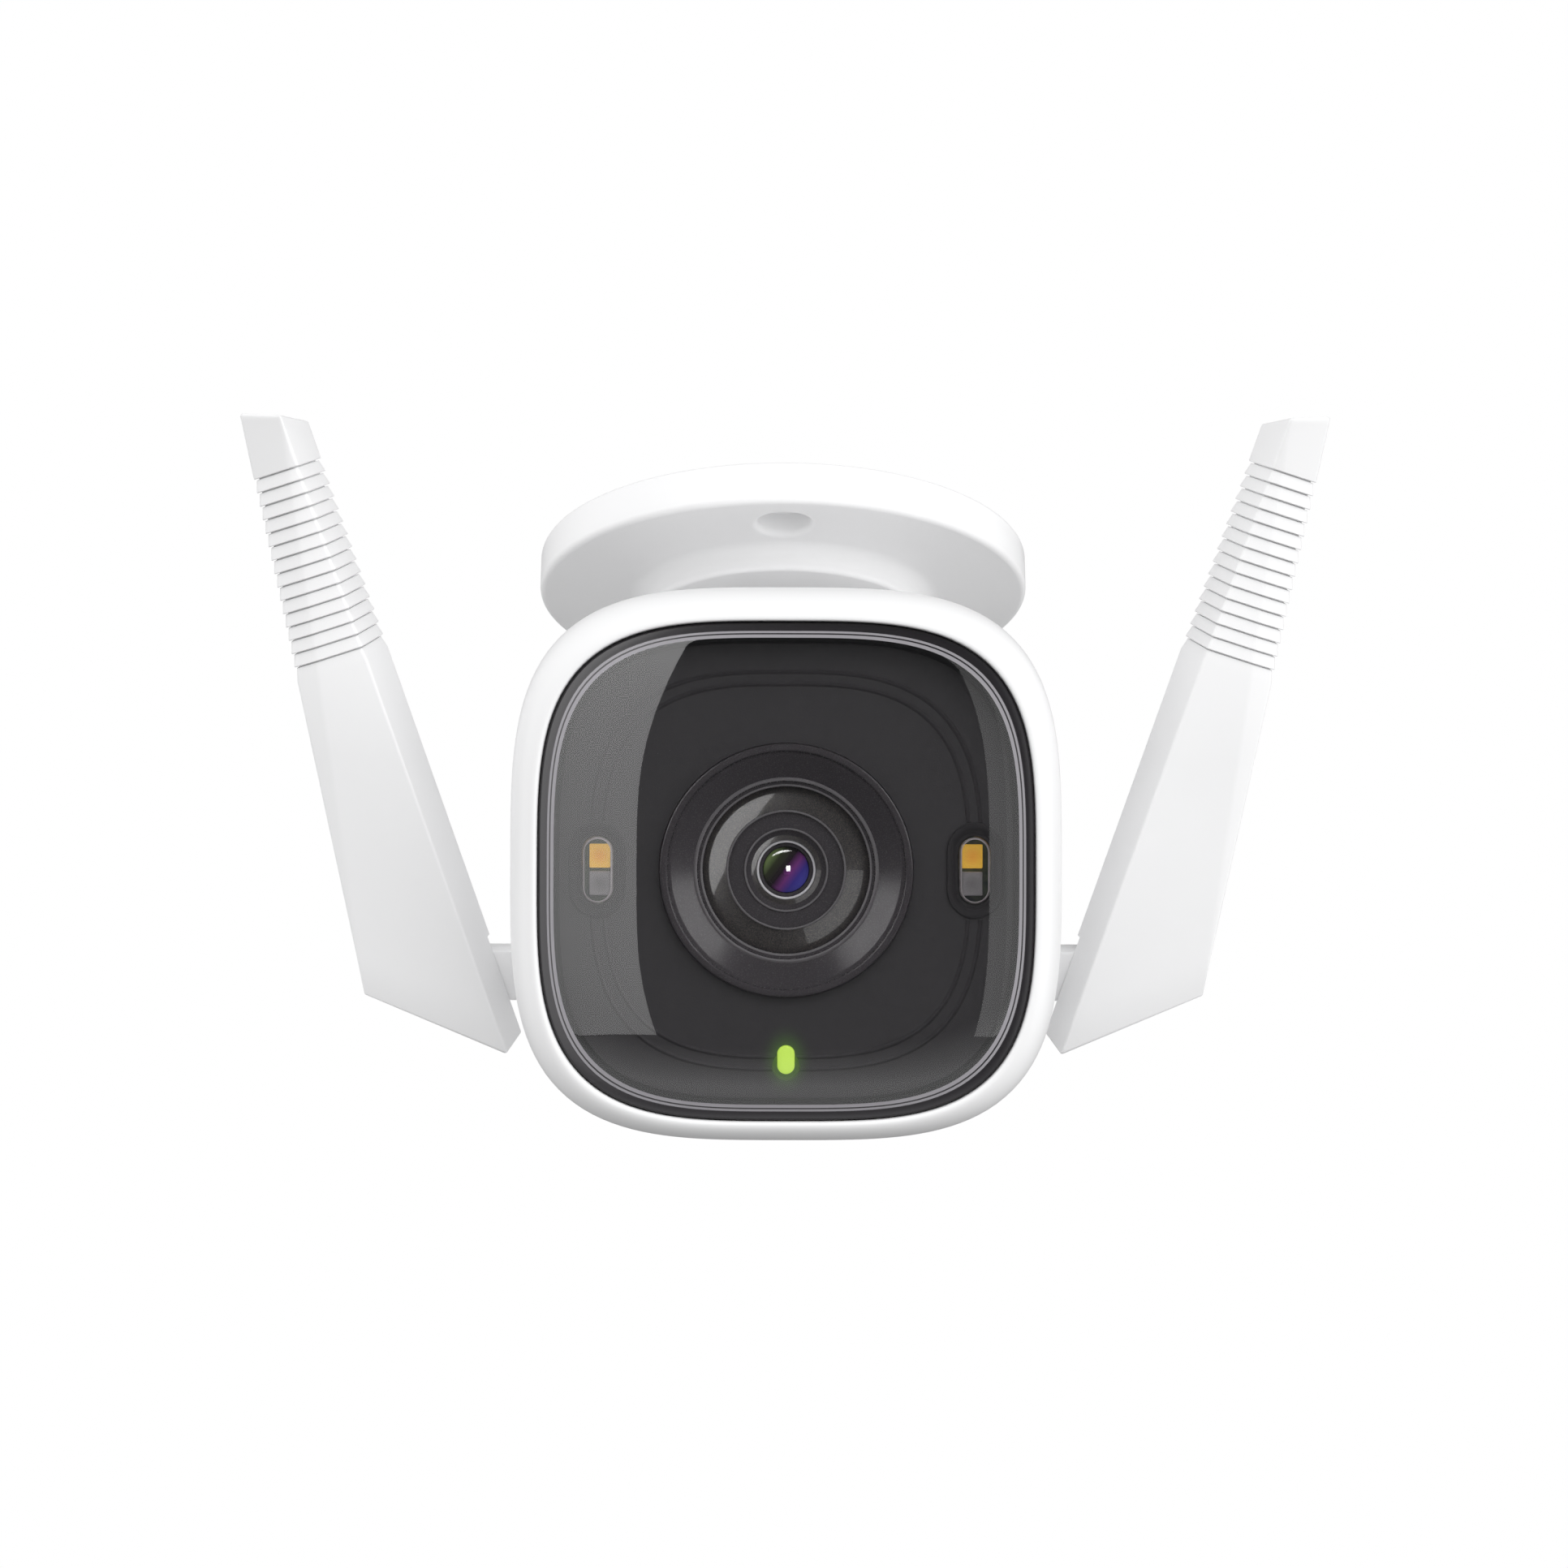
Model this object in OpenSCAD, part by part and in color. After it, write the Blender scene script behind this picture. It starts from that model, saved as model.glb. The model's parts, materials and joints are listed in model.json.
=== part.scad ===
// Outdoor security camera with two light windows and two folding antennas, hung from a ceiling plate.
// Origin: centre of the plate's ceiling face. +Z is up, the camera looks along -Y. Millimetres.

/* [Housing] */
// Width of the housing at its largest section
body_w = 64.2; // [62:0.2:68]
// Height of the housing at its largest section
body_h = 64.3; // [62:0.1:68]
// Distance from the ball's centre forward to the largest section
section_d = 61.6; // [61:0.2:66]
// Squareness of the housing's section: 2 is an ellipse, more is squarer
squareness = 3.5; // [3:0.1:4.5]
// Wall thickness of the housing
wall = 2.4; // [2:0.1:2.6]

/* [Window] */
// Half width of the front window
window_half_w = 28.35; // [27.8:0.05:28.4]
// Half height of the front window
window_half_h = 28.4; // [27.8:0.05:28.4]
// How far the window sits below the housing's centre line
window_drop = 0.8; // [0.4:0.1:1.2]

/* [Lights] */
// Distance of each light window from the lens axis
light_x = 21.75; // [21:0.05:22.2]
// Distance of the status light below the lens axis
status_y = 21.8; // [21:0.1:22.4]

/* [Ceiling plate] */
// Radius of the ceiling plate
plate_r = 35; // [34:0.5:36]
// Thickness of the plate's rim
plate_t = 5.9; // [5.6:0.1:6.4]
// Pitch circle diameter of the three screw holes
screw_pcd = 55; // [54:0.5:56]
// Radius of the screw holes
screw_hole_r = 2.2; // [2:0.1:2.4]

/* [Ball joint] */
// Depth of the ball's centre below the ceiling
ball_drop = 29.7; // [29:0.1:34]
// Radius of the ball
ball_r = 9.5; // [9:0.1:9.6]
// Height of the ball's centre above the housing's centre line
ball_rise = 14; // [13.6:0.1:14.2]
// Downward tilt of the camera at rest, in degrees
head_tilt = 16.5; // [0:0.5:40]

/* [Antennas] */
// Outward splay of each antenna at rest, in degrees
splay = 17.9; // [0:0.1:60]
// Forward swivel of each antenna at rest, in degrees
swivel = 12; // [-60:1:60]
// Number of grip grooves near each antenna's tip
grooves = 15; // [6:1:15]

/* [Hidden] */
$fn = 48;
cut = 0.01;          // overshoot of a cutting tool
run_gap = 0.05;      // radial clearance of a running fit
ring_n = 48;         // points round a housing section

// Colours
white_body = [0.93, 0.93, 0.94];
black_gloss = [0.09, 0.09, 0.10];
dark_grey = [0.2, 0.2, 0.21];
steel = [0.7, 0.71, 0.73];
board_green = [0.1, 0.3, 0.2];
gold = [0.8, 0.62, 0.3];

// Housing, measured from the ball's plane forward (z) and from the centre line up (y)
rear_half_w = body_w / 2 - 3.1;
rear_half_h = body_h / 2 - 3.85;
corner_r = rear_half_h - ball_rise;
split_z = 54;
ledge_back_z = section_d - 1.4;
ledge_front_z = ledge_back_z + 2.8;
ledge_half = 25.5;
lip_z = section_d + 6.6;
gasket_w = 1.1;
gasket_t = 1.2;
boss_at = 22.6;
boss_r = 3;
boss_depth = 13;
housing_screw_r = 1.25;
housing_head_r = 2.3;
housing_head_t = 1.4;
post_x = 19;
post_y = 13;
post_sink = 3.5;
post_r = 2.6;
post_screw_r = 1.1;

// Ceiling plate and pan bearing
plate_edge_r = 0.8;
collar_r = 20.4;
collar_h = 3.5;
collar_fillet = 2.2;
pad_r = 33;
pad_t = 0.8;
recess_r = 3.6;
recess_depth = 3.4;
pan_shaft_r = 6;
pan_bush_r = 7.5;
pan_well_r = 11;
pan_well_z = -3.2;
pan_flange_t = 0.6;
pan_washer_t = 0.6;
pan_top_z = pan_well_z + pan_flange_t + 0.1;
stem_flange_r = 11;
stem_flange_t = 2;
neck_r = 5;
slot_half_w = 6.2;
slot_margin = 27;    // half of the neck's angle at the housing's inner face, with room, in degrees
socket_margin = 34;  // the same at the ball's surface
tilt_up = 20;
tilt_down = 70;

// Ball socket
socket_r = corner_r - wall - 1;
socket_half_w = 13.5;
socket_bore_r = ball_r + 0.15;
socket_split = 0.1;
clamp_x = 11.6;
clamp_screw_r = 1.1;
clamp_head_r = 1.7;
clamp_head_t = 1.4;
rib_t = 2.4;

// Front stack, from the ledge forward
face_t = 1.6;
face_z = ledge_front_z;
face_front_z = face_z + face_t;
window_back_z = face_front_z + 2;
window_t = 2.6;
board_t = 1.6;
light_board_z = ledge_back_z - board_t;
ridge_w = 0.35;
ridge_h = 0.3;
ridge_halves = [[22.5, 22.9], [21.1, 21.5]];
capsule_w = 3.64;
capsule_l = 7.8;
bezel_w = 5.1;
bezel_l = 9.1;
bezel_flange_w = 6.5;
bezel_flange_l = 11;
chip_w = 2.4;
chip_l = 2.8;
chip_y = 1.6;
chip_t = 1;
pipe_w = 2;
pipe_l = 3.3;
mic_z = ledge_back_z + 1.5;
mic_hole_r = 0.95;

// Lens and sensor
surround_r = 14.6;
barrel_r = 7.1;
barrel_thread_r = 6;
barrel_front_z = face_z - 0.6;
barrel_back_z = 44;
mount_back_z = 36;
mount_r = 9;
mount_flange_r = 15;
lens_r = 3.4;
sensor_t = 0.9;
ir_frame_z = 38.4;
ir_frame_t = 3;
ir_slider_t = 0.8;
ir_travel = 2;

// Main board, card and cover on the underside
main_z = 20;
main_half_w = 22;
main_half_h = 20;
cover_z = 19;
cover_w = 20;
cover_l = 20;
cover_t = 1.8;
cover_gap = 0.35;
card_opening_w = 14;
card_opening_l = 10;
hinge_r = 1.5;
hinge_y = hinge_r + 0.3;
hinge_z = -cover_l / 2 + hinge_r + 0.4;
cover_pin_r = 0.6;
cover_pin_half = cover_w / 2 + 1.8;
taper_deg = atan((body_h / 2 - rear_half_h) / section_d);
card_w = 11;
card_l = 15;
card_t = 1;
card_z = 18;
socket_t = 2;
card_y = -26.4;
reset_x = 8.8;
reset_r = 0.8;

// Antenna hubs and blades, in blade axes: along, across (outward) and forward
hub_y = -16.3;
hub_z = 27;
hub_face_x = body_w / 2 - 1.6;
hub_r = 5;
hub_l = 1;
hub_shaft_r = 3;
hub_shaft_l = 8.9;
hub_bore_r = 0.9;
hub_boss_r = 5.4;
clip_t = 0.7;
clip_r = 3.7;
seal_w = 1.2;
tongue_t = 4.2;
tongue_r = 3.4;
tongue_z = -5.6;     // middle of the tongue, near the rear of the blade
root_l = 0.45;       // plate that carries the tongue on the hub
root_front = 3;
pin_r = 1.2;
pin_inset = 5;
pin_x = hub_face_x + 13.14;
blade_half_t = 4.7;
blade_slant = 1.3;
blade_tip_in = 75.7;
blade_tip_out = 77.3;
blade_tip_w = 5.1;
blade_tip_slope = 1.6;
blade_root_in = -10.15;
blade_root_out = 2.9;
blade_root_w = 14.9;
blade_edge_drop = 1.7;
lap_gap = 0.3;
groove_from = 45.5;
groove_pitch = 1.686;
groove_w = 0.4;
groove_d = 0.35;

// ---- Frames ----

// Head frame: origin at the ball, tilted with the camera
module head_frame() {
  translate([0, 0, -ball_drop]) rotate([head_tilt, 0, 0]) children();
}

// Front frame: x right, y up from the housing's centre line, z forward from the ball's plane
module front_frame() {
  head_frame() translate([0, 0, -ball_rise]) rotate([90, 0, 0]) children();
}

// Lens frame: the front frame moved down to the lens axis
module lens_frame() {
  front_frame() translate([0, -window_drop, 0]) children();
}

// Socket frame: origin at the ball, z from the open rear top towards the front bottom
module socket_frame() {
  front_frame() translate([0, ball_rise, 0]) rotate([45, 0, 0]) children();
}

// Underside frame: origin on the housing's underside, y inward, z forward along the taper
module underside_frame() {
  front_frame() translate([0, -half_h(cover_z), cover_z]) rotate([taper_deg, 0, 0]) children();
}

// Hub frame: side is -1 or 1, x outward along the swivel axis, y up, z forward
module hub_frame(side) {
  front_frame() translate([0, hub_y, hub_z]) mirror([side < 0 ? 1 : 0, 0, 0])
    rotate([swivel, 0, 0]) children();
}

// Blade frame: x across (outward), y along the blade, z forward, origin at the hinge pin
module blade_frame(side) {
  hub_frame(side) translate([pin_x, 0, 0]) rotate([0, 0, -splay]) translate([-pin_inset, 0, 0])
    children();
}

// ---- Shapes ----

// Outline of a rounded square with half sizes a and b
function outline(a, b, y0 = 0) = [for (i = [0 : ring_n - 1])
  let (t = 360 * i / ring_n,
       r = pow(pow(abs(cos(t)) / a, squareness) + pow(abs(sin(t)) / b, squareness),
               -1 / squareness))
  [r * cos(t), y0 + r * sin(t)]];

// The same outline as a ring of points at height z
function ring_at(a, b, z, y0 = 0) = [for (p = outline(a, b, y0)) [p[0], p[1], z]];

// Half size of the tapered housing at z, inset from its outer face
function half_at(rear_half, front_half, z, inset) = z >= 0
  ? rear_half + (front_half - rear_half) * z / section_d - inset
  : rear_half - corner_r + sqrt(max(0, pow(corner_r - inset, 2) - z * z));
function half_w(z, inset = 0) = half_at(rear_half_w, body_w / 2, z, inset);
function half_h(z, inset = 0) = half_at(rear_half_h, body_h / 2, z, inset);
function body_ring(z, inset = 0) = ring_at(half_w(z, inset), half_h(z, inset), z);

// Points of an arc round (cx, cy)
function arc(cx, cy, r, from, to, steps) = [for (i = [0 : steps])
  let (t = from + (to - from) * i / steps) [cx + r * cos(t), cy + r * sin(t)]];

// Solid skin through a list of rings; closed joins the last ring to the first
module ring_solid(rings, closed = false) {
  count = len(rings);
  last = closed ? count - 1 : count - 2;
  points = [for (ring = rings) each ring];
  sides = [for (j = [0 : last]) for (i = [0 : ring_n - 1])
    let (k = (i + 1) % ring_n, up = ((j + 1) % count) * ring_n, low = j * ring_n)
    each [[low + i, up + i, up + k], [low + i, up + k, low + k]]];
  first_cap = [for (i = [0 : ring_n - 1]) i];
  last_cap = [for (i = [0 : ring_n - 1]) count * ring_n - 1 - i];
  polyhedron(points, closed ? sides : concat(sides, [first_cap, last_cap]));
}

// Flat rounded-square plate
module plate(half_a, half_b, thickness) {
  linear_extrude(thickness) polygon(outline(half_a, half_b));
}

// Upright capsule of width w and length l
module capsule(w, l, thickness) {
  straight = (l - w) / 2;
  linear_extrude(thickness) union() {
    translate([0, straight]) circle(d = w);
    translate([0, -straight]) circle(d = w);
    square([w, 2 * straight], center = true);
  }
}

module ring(outer_r, inner_r, thickness) {
  difference() {
    cylinder(r = outer_r, h = thickness);
    translate([0, 0, -cut]) cylinder(r = inner_r, h = thickness + 2 * cut);
  }
}

module x_cylinder(r, x0, x1) {
  translate([x0, 0, 0]) rotate([0, 90, 0]) cylinder(r = r, h = x1 - x0);
}

// Screw pointing along -z with its head's underside at z = 0
module screw(shaft_r, shaft_l, head_r, head_t) {
  translate([0, 0, -shaft_l]) cylinder(r = shaft_r, h = shaft_l);
  difference() {
    cylinder(r = head_r, h = head_t);
    translate([0, 0, head_t / 2]) cylinder(r = head_r * 0.5, h = head_t, $fn = 6);
  }
}

module at_corners(x, y) {
  for (sx = [-1, 1]) for (sy = [-1, 1]) translate([sx * x, sy * y, 0]) children();
}

// Wedge of angles from the ball's centre that the neck sweeps, measured from +y towards -z
module neck_sweep(reach, margin) {
  from = head_tilt - tilt_up - margin;
  to = head_tilt + tilt_down + margin;
  rotate([0, -90, 0]) rotate([0, 0, 90]) translate([0, 0, -slot_half_w])
    linear_extrude(2 * slot_half_w) polygon(concat([[0, 0]], arc(0, 0, reach, from, to, 12)));
}

// ---- Ceiling plate and stem ----

module base_plate() {
  low = -plate_t;
  profile = concat(
    [[pan_bush_r, low - collar_h]],
    arc(collar_r - 0.5, low - collar_h + 0.5, 0.5, -90, 0, 3),
    arc(collar_r + collar_fillet, low - collar_fillet, collar_fillet, 180, 90, 5),
    arc(plate_r - plate_edge_r, low + plate_edge_r, plate_edge_r, -90, 0, 4),
    arc(plate_r - plate_edge_r, -plate_edge_r, plate_edge_r, 0, 90, 4),
    [[pad_r, 0], [pad_r, -pad_t], [pan_well_r, -pad_t], [pan_well_r, pan_well_z],
     [pan_bush_r, pan_well_z]]);
  color(white_body) difference() {
    rotate_extrude($fn = 96) polygon(profile);
    for (i = [0 : 2]) rotate([0, 0, -90 + 120 * i]) translate([screw_pcd / 2, 0, 0]) {
      translate([0, 0, low - 1]) cylinder(r = screw_hole_r, h = plate_t + 2);
      translate([0, 0, low - 1]) cylinder(r = recess_r, h = recess_depth + 1);
    }
  }
}

module ceiling_pad() {
  color(dark_grey) difference() {
    translate([0, 0, -pad_t]) cylinder(r = pad_r - 0.1, h = pad_t, $fn = 96);
    for (i = [0 : 2]) rotate([0, 0, -90 + 120 * i]) translate([screw_pcd / 2, 0, -pad_t - cut])
      cylinder(r = screw_hole_r + 0.3, h = pad_t + 2 * cut);
  }
}

module pan_bush() {
  low = -plate_t - collar_h;
  color([0.85, 0.85, 0.8]) difference() {
    union() {
      translate([0, 0, low]) cylinder(r = pan_bush_r, h = pan_well_z - low);
      translate([0, 0, pan_well_z]) cylinder(r = pan_bush_r + 2, h = pan_flange_t);
    }
    translate([0, 0, low - cut]) cylinder(r = pan_shaft_r + run_gap, h = plate_t + collar_h);
  }
}

module ball_stem() {
  flange_top = -plate_t - collar_h - 0.1;
  flange_low = flange_top - stem_flange_t;
  color(white_body) difference() {
    union() {
      translate([0, 0, -ball_drop]) sphere(r = ball_r, $fn = 64);
      translate([0, 0, -ball_drop]) cylinder(r = neck_r, h = ball_drop + flange_low);
      translate([0, 0, flange_low - 2.4]) cylinder(r1 = neck_r, r2 = stem_flange_r - 1.5, h = 2.4);
      translate([0, 0, flange_low]) cylinder(r = stem_flange_r, h = stem_flange_t);
      translate([0, 0, flange_top]) cylinder(r = pan_shaft_r, h = pan_top_z - flange_top);
    }
    translate([0, 0, pan_top_z - 8]) cylinder(r = 1.5, h = 8 + cut);
  }
}

module pan_washer() {
  color(steel) translate([0, 0, pan_top_z]) ring(pan_bush_r + 1.6, 1.6, pan_washer_t);
}

module pan_screw() {
  color(steel) translate([0, 0, pan_top_z + pan_washer_t]) screw(1.5, 8, 3.2, 0.9);
}

// ---- Housing ----

module shell_body() {
  outer = [for (a = [90 : -15 : 15]) body_ring(-corner_r * sin(a))];
  inner = [for (a = [15 : 15 : 90]) body_ring(-(corner_r - wall) * sin(a), wall)];
  ring_solid(concat(outer, [body_ring(0), body_ring(split_z)],
                    [body_ring(split_z, wall), body_ring(0, wall)], inner));
}

module shell_supports() {
  at_corners(boss_at, boss_at) translate([0, 0, split_z - boss_depth])
    cylinder(r = boss_r, h = boss_depth - gasket_t - 0.2);
  at_corners(post_x, post_y) translate([0, 0, -corner_r + post_sink])
    cylinder(r = post_r, h = main_z + corner_r - post_sink);
  for (side = [-1, 1]) {
    translate([0, hub_y, hub_z]) mirror([side < 0 ? 1 : 0, 0, 0])
      x_cylinder(hub_boss_r, hub_face_x - 7.1, hub_face_x);
    translate([side * (socket_half_w + rib_t / 2), ball_rise - 1, -2])
      cube([rib_t, 18, 12], center = true);
  }
  translate([0, -9, -corner_r + 1]) cylinder(r = 7, h = 4.4);
  intersection() {
    ring_solid([body_ring(2, 1), body_ring(36, 1)]);
    translate([0, -half_h(cover_z) + 2.6, cover_z]) cube([26, 5.2, 28], center = true);
  }
}

module cover_cut() {
  translate([-cover_w / 2 - cover_gap, -1, -cover_l / 2 - cover_gap])
    cube([cover_w + 2 * cover_gap, cover_t + 1.3, cover_l + 2 * cover_gap]);
  translate([-cover_w / 2 - cover_gap, -1, -cover_l / 2 - cover_gap])
    cube([cover_w + 2 * cover_gap, hinge_y + hinge_r + 1.3, hinge_z + cover_l / 2 + hinge_r + 0.7]);
  translate([-card_opening_w / 2, -1, -card_opening_l / 2 + 2])
    cube([card_opening_w, 8, card_opening_l]);
  translate([reset_x, -1, 3]) rotate([-90, 0, 0]) cylinder(r = reset_r + 0.4, h = 8);
  translate([0, hinge_y, hinge_z])
    x_cylinder(cover_pin_r, -cover_pin_half - 0.2, cover_pin_half + 0.2);
}

module rear_shell() {
  color(white_body) front_frame() difference() {
    union() {
      shell_body();
      shell_supports();
    }
    translate([0, ball_rise, 0]) neck_sweep(30, slot_margin);
    translate([0, 0, split_z - gasket_t])
      plate(half_w(split_z, wall) + gasket_w, half_h(split_z, wall) + gasket_w, gasket_t + 1);
    at_corners(boss_at, boss_at) translate([0, 0, split_z - boss_depth + 1])
      cylinder(r = housing_screw_r, h = boss_depth);
    at_corners(post_x, post_y) translate([0, 0, main_z - 8]) cylinder(r = post_screw_r, h = 9);
    for (side = [-1, 1]) translate([0, hub_y, hub_z]) mirror([side < 0 ? 1 : 0, 0, 0])
      x_cylinder(hub_shaft_r + run_gap, hub_face_x - 10, hub_face_x + 2);
    translate([0, -9, -corner_r - 2]) cylinder(r = 4.6, h = 12);
    translate([0, -half_h(cover_z), cover_z]) rotate([taper_deg, 0, 0]) cover_cut();
    for (i = [-2 : 2]) for (j = [-1 : 1]) translate([i * 2.6, -40, 42 + j * 2.6])
      rotate([-90, 0, 0]) cylinder(r = 0.6, h = 20);
  }
}

module front_ring() {
  half_w_in = window_half_w + 0.15;
  half_h_in = window_half_h + 0.15;
  inner_w = half_w(split_z, 2.5);
  inner_h = half_h(split_z, 2.5);
  rings = [
    body_ring(split_z),
    ring_at(body_w / 2, body_h / 2, section_d),
    ring_at(body_w / 2 - 0.35, body_h / 2 - 0.35, section_d + 2.2),
    ring_at(body_w / 2 - 1.1, body_h / 2 - 1.1, section_d + 4.2, -0.1),
    ring_at(body_w / 2 - 2.1, body_h / 2 - 2.1, section_d + 5.8, -0.3),
    ring_at(half_w_in + 0.5, half_h_in + 0.5, lip_z, -0.7),
    ring_at(half_w_in, half_h_in, lip_z, -window_drop),
    ring_at(half_w_in, half_h_in, ledge_front_z, -window_drop),
    ring_at(ledge_half, ledge_half, ledge_front_z, -window_drop),
    ring_at(ledge_half, ledge_half, ledge_back_z, -window_drop),
    ring_at(inner_w, inner_h, ledge_back_z),
    ring_at(inner_w, inner_h, split_z)];
  color(white_body) front_frame() difference() {
    ring_solid(rings, closed = true);
    at_corners(boss_at, boss_at) {
      translate([0, 0, ledge_back_z - 1]) cylinder(r = housing_screw_r + 0.1, h = 6);
      translate([0, 0, ledge_front_z - housing_head_t]) cylinder(r = housing_head_r + 0.1, h = 4);
    }
    translate([0, -body_h / 2 - 1, mic_z]) rotate([-90, 0, 0]) cylinder(r = mic_hole_r, h = 5);
    translate([-2, -28.8, mic_z - 1.1]) cube([4, 4, 2.2]);
  }
}

module housing_gasket() {
  a = half_w(split_z, wall);
  b = half_h(split_z, wall);
  color(dark_grey) front_frame() translate([0, 0, split_z - gasket_t]) difference() {
    plate(a + gasket_w, b + gasket_w, gasket_t);
    translate([0, 0, -cut]) plate(a, b, gasket_t + 2 * cut);
    at_corners(boss_at, boss_at) translate([0, 0, -cut])
      cylinder(r = housing_screw_r + 0.2, h = gasket_t + 2 * cut);
  }
}

module housing_screws() {
  color(steel) front_frame() at_corners(boss_at, boss_at)
    translate([0, 0, ledge_front_z - housing_head_t]) {
      screw(housing_screw_r, 18, housing_head_r, housing_head_t);
    }
}

// ---- Ball socket ----

module socket_half(upper) {
  z0 = upper ? -socket_r - 1 : socket_split;
  difference() {
    intersection() {
      x_cylinder(socket_r, -socket_half_w, socket_half_w);
      translate([-20, -20, z0]) cube([40, 40, socket_r + 1 - socket_split]);
    }
    sphere(r = socket_bore_r, $fn = 64);
    for (side = [-1, 1]) translate([side * clamp_x, 0, -20]) cylinder(r = clamp_screw_r, h = 40);
    for (side = [-1, 1]) translate([side * clamp_x, 0, 7.4]) cylinder(r = clamp_head_r + 0.1, h = 10);
    rotate([-45, 0, 0]) neck_sweep(30, socket_margin);
  }
}

module socket_cup() {
  color(dark_grey) socket_frame() socket_half(false);
}

module socket_cap() {
  color(dark_grey) socket_frame() socket_half(true);
}

module clamp_screws() {
  color(steel) socket_frame() for (side = [-1, 1]) translate([side * clamp_x, 0, 7.4])
    screw(clamp_screw_r, 14, clamp_head_r, clamp_head_t);
}

// ---- Window, face plate and lights ----

module front_window() {
  a = window_half_w;
  b = window_half_h;
  z = window_back_z;
  color([0.12, 0.12, 0.14, 0.5]) lens_frame() ring_solid([
    ring_at(a, b, z), ring_at(a, b, z + 1.2), ring_at(a - 0.5, b - 0.5, z + 1.9),
    ring_at(a - 1.4, b - 1.4, z + 2.3), ring_at(a - 6, b - 6, z + window_t)]);
}

module window_gasket() {
  color(black_gloss) lens_frame() translate([0, 0, face_front_z]) difference() {
    plate(window_half_w, window_half_h, window_back_z - face_front_z);
    translate([0, 0, -cut]) plate(window_half_w - 2.2, window_half_h - 2.2, 3);
  }
}

module face_plate() {
  color(dark_grey) lens_frame() translate([0, 0, face_z]) difference() {
    union() {
      plate(window_half_w, window_half_h, face_t);
      for (half = ridge_halves) difference() {
        plate(half[0], half[1], face_t + ridge_h);
        translate([0, 0, -cut]) plate(half[0] - ridge_w, half[1] - ridge_w, face_t + 1);
      }
    }
    translate([0, 0, -cut]) cylinder(r = surround_r + 0.1, h = face_t + 2);
    for (side = [-1, 1]) translate([side * light_x, 0, 0]) {
      translate([0, 0, -cut]) capsule(bezel_w, bezel_l, face_t + 1);
      translate([0, 0, face_t]) capsule(bezel_flange_w + 0.6, bezel_flange_l + 0.6, 1);
    }
    translate([0, -status_y, -cut]) capsule(pipe_w, pipe_l, face_t + 1);
    translate([0, -status_y, face_t]) cylinder(r = 2.4, h = 1);
  }
}

module light_bezel(side) {
  color(black_gloss) lens_frame() translate([side * light_x, 0, face_z]) difference() {
    union() {
      translate([0, 0, -0.8]) capsule(bezel_w, bezel_l, face_t + 0.8);
      translate([0, 0, face_t]) capsule(bezel_flange_w, bezel_flange_l, 0.3);
    }
    translate([0, 0, -1]) capsule(capsule_w, capsule_l, face_t + 2);
  }
}

module light_cover(side) {
  color([0.8, 0.8, 0.85, 0.5]) lens_frame() translate([side * light_x, 0, face_z + 0.4])
    capsule(capsule_w, capsule_l, face_t + 0.1);
}

module left_light_bezel() { light_bezel(-1); }
module right_light_bezel() { light_bezel(1); }
module left_light_cover() { light_cover(-1); }
module right_light_cover() { light_cover(1); }

module led_pair(y) {
  for (side = [-1, 1]) translate([side * light_x, y, ledge_back_z + chip_t / 2])
    cube([chip_w, chip_l, chip_t], center = true);
}

module white_leds() {
  color([0.95, 0.75, 0.35]) lens_frame() led_pair(chip_y);
}

module infrared_leds() {
  color([0.5, 0.5, 0.52]) lens_frame() led_pair(-chip_y);
}

module light_board() {
  color(board_green) lens_frame() translate([0, 0, light_board_z]) difference() {
    plate(27.6, 27.6, board_t);
    translate([0, 0, -cut]) cylinder(r = mount_r + 1.4, h = board_t + 2 * cut);
    translate([0, window_drop, -cut]) at_corners(boss_at, boss_at)
      cylinder(r = boss_r + 1.4, h = board_t + 2 * cut);
  }
}

module status_led() {
  color([0.7, 0.8, 0.6]) lens_frame() translate([0, -status_y, ledge_back_z + chip_t / 2])
    cube([1.6, 2.4, chip_t], center = true);
}

module status_light_pipe() {
  color([0.55, 0.85, 0.2]) lens_frame() translate([0, -status_y, ledge_back_z + chip_t])
    capsule(pipe_w, pipe_l, face_front_z - ledge_back_z - chip_t + 0.3);
}

module microphone() {
  color(gold) front_frame() translate([0, -27.1, mic_z]) cube([3.4, 1, 2], center = true);
}

module microphone_boot() {
  color(dark_grey) front_frame() translate([0, -28.2, mic_z]) difference() {
    cube([4, 1.2, 2.2], center = true);
    rotate([90, 0, 0]) cylinder(r = 0.6, h = 4, center = true);
  }
}

// ---- Lens, filter and sensor ----

module lens_surround() {
  low = face_z - 2.4;
  top = face_front_z + 1.2;
  profile = [
    [barrel_r + 0.1, low], [surround_r - 0.1, low], [surround_r - 0.1, face_front_z - 0.1],
    [surround_r, face_front_z], [surround_r, top - 0.3], [surround_r - 0.3, top],
    [surround_r - 0.6, top], [surround_r - 0.9, top - 0.3], [10.7, face_z + 0.1],
    [10.4, face_z + 0.4], [10, face_z + 0.4], [9.8, face_z + 0.1], [9.8, low + 1.2],
    [barrel_r + 0.1, low + 0.8]];
  color(black_gloss) lens_frame() rotate_extrude($fn = 96) polygon(profile);
}

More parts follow.
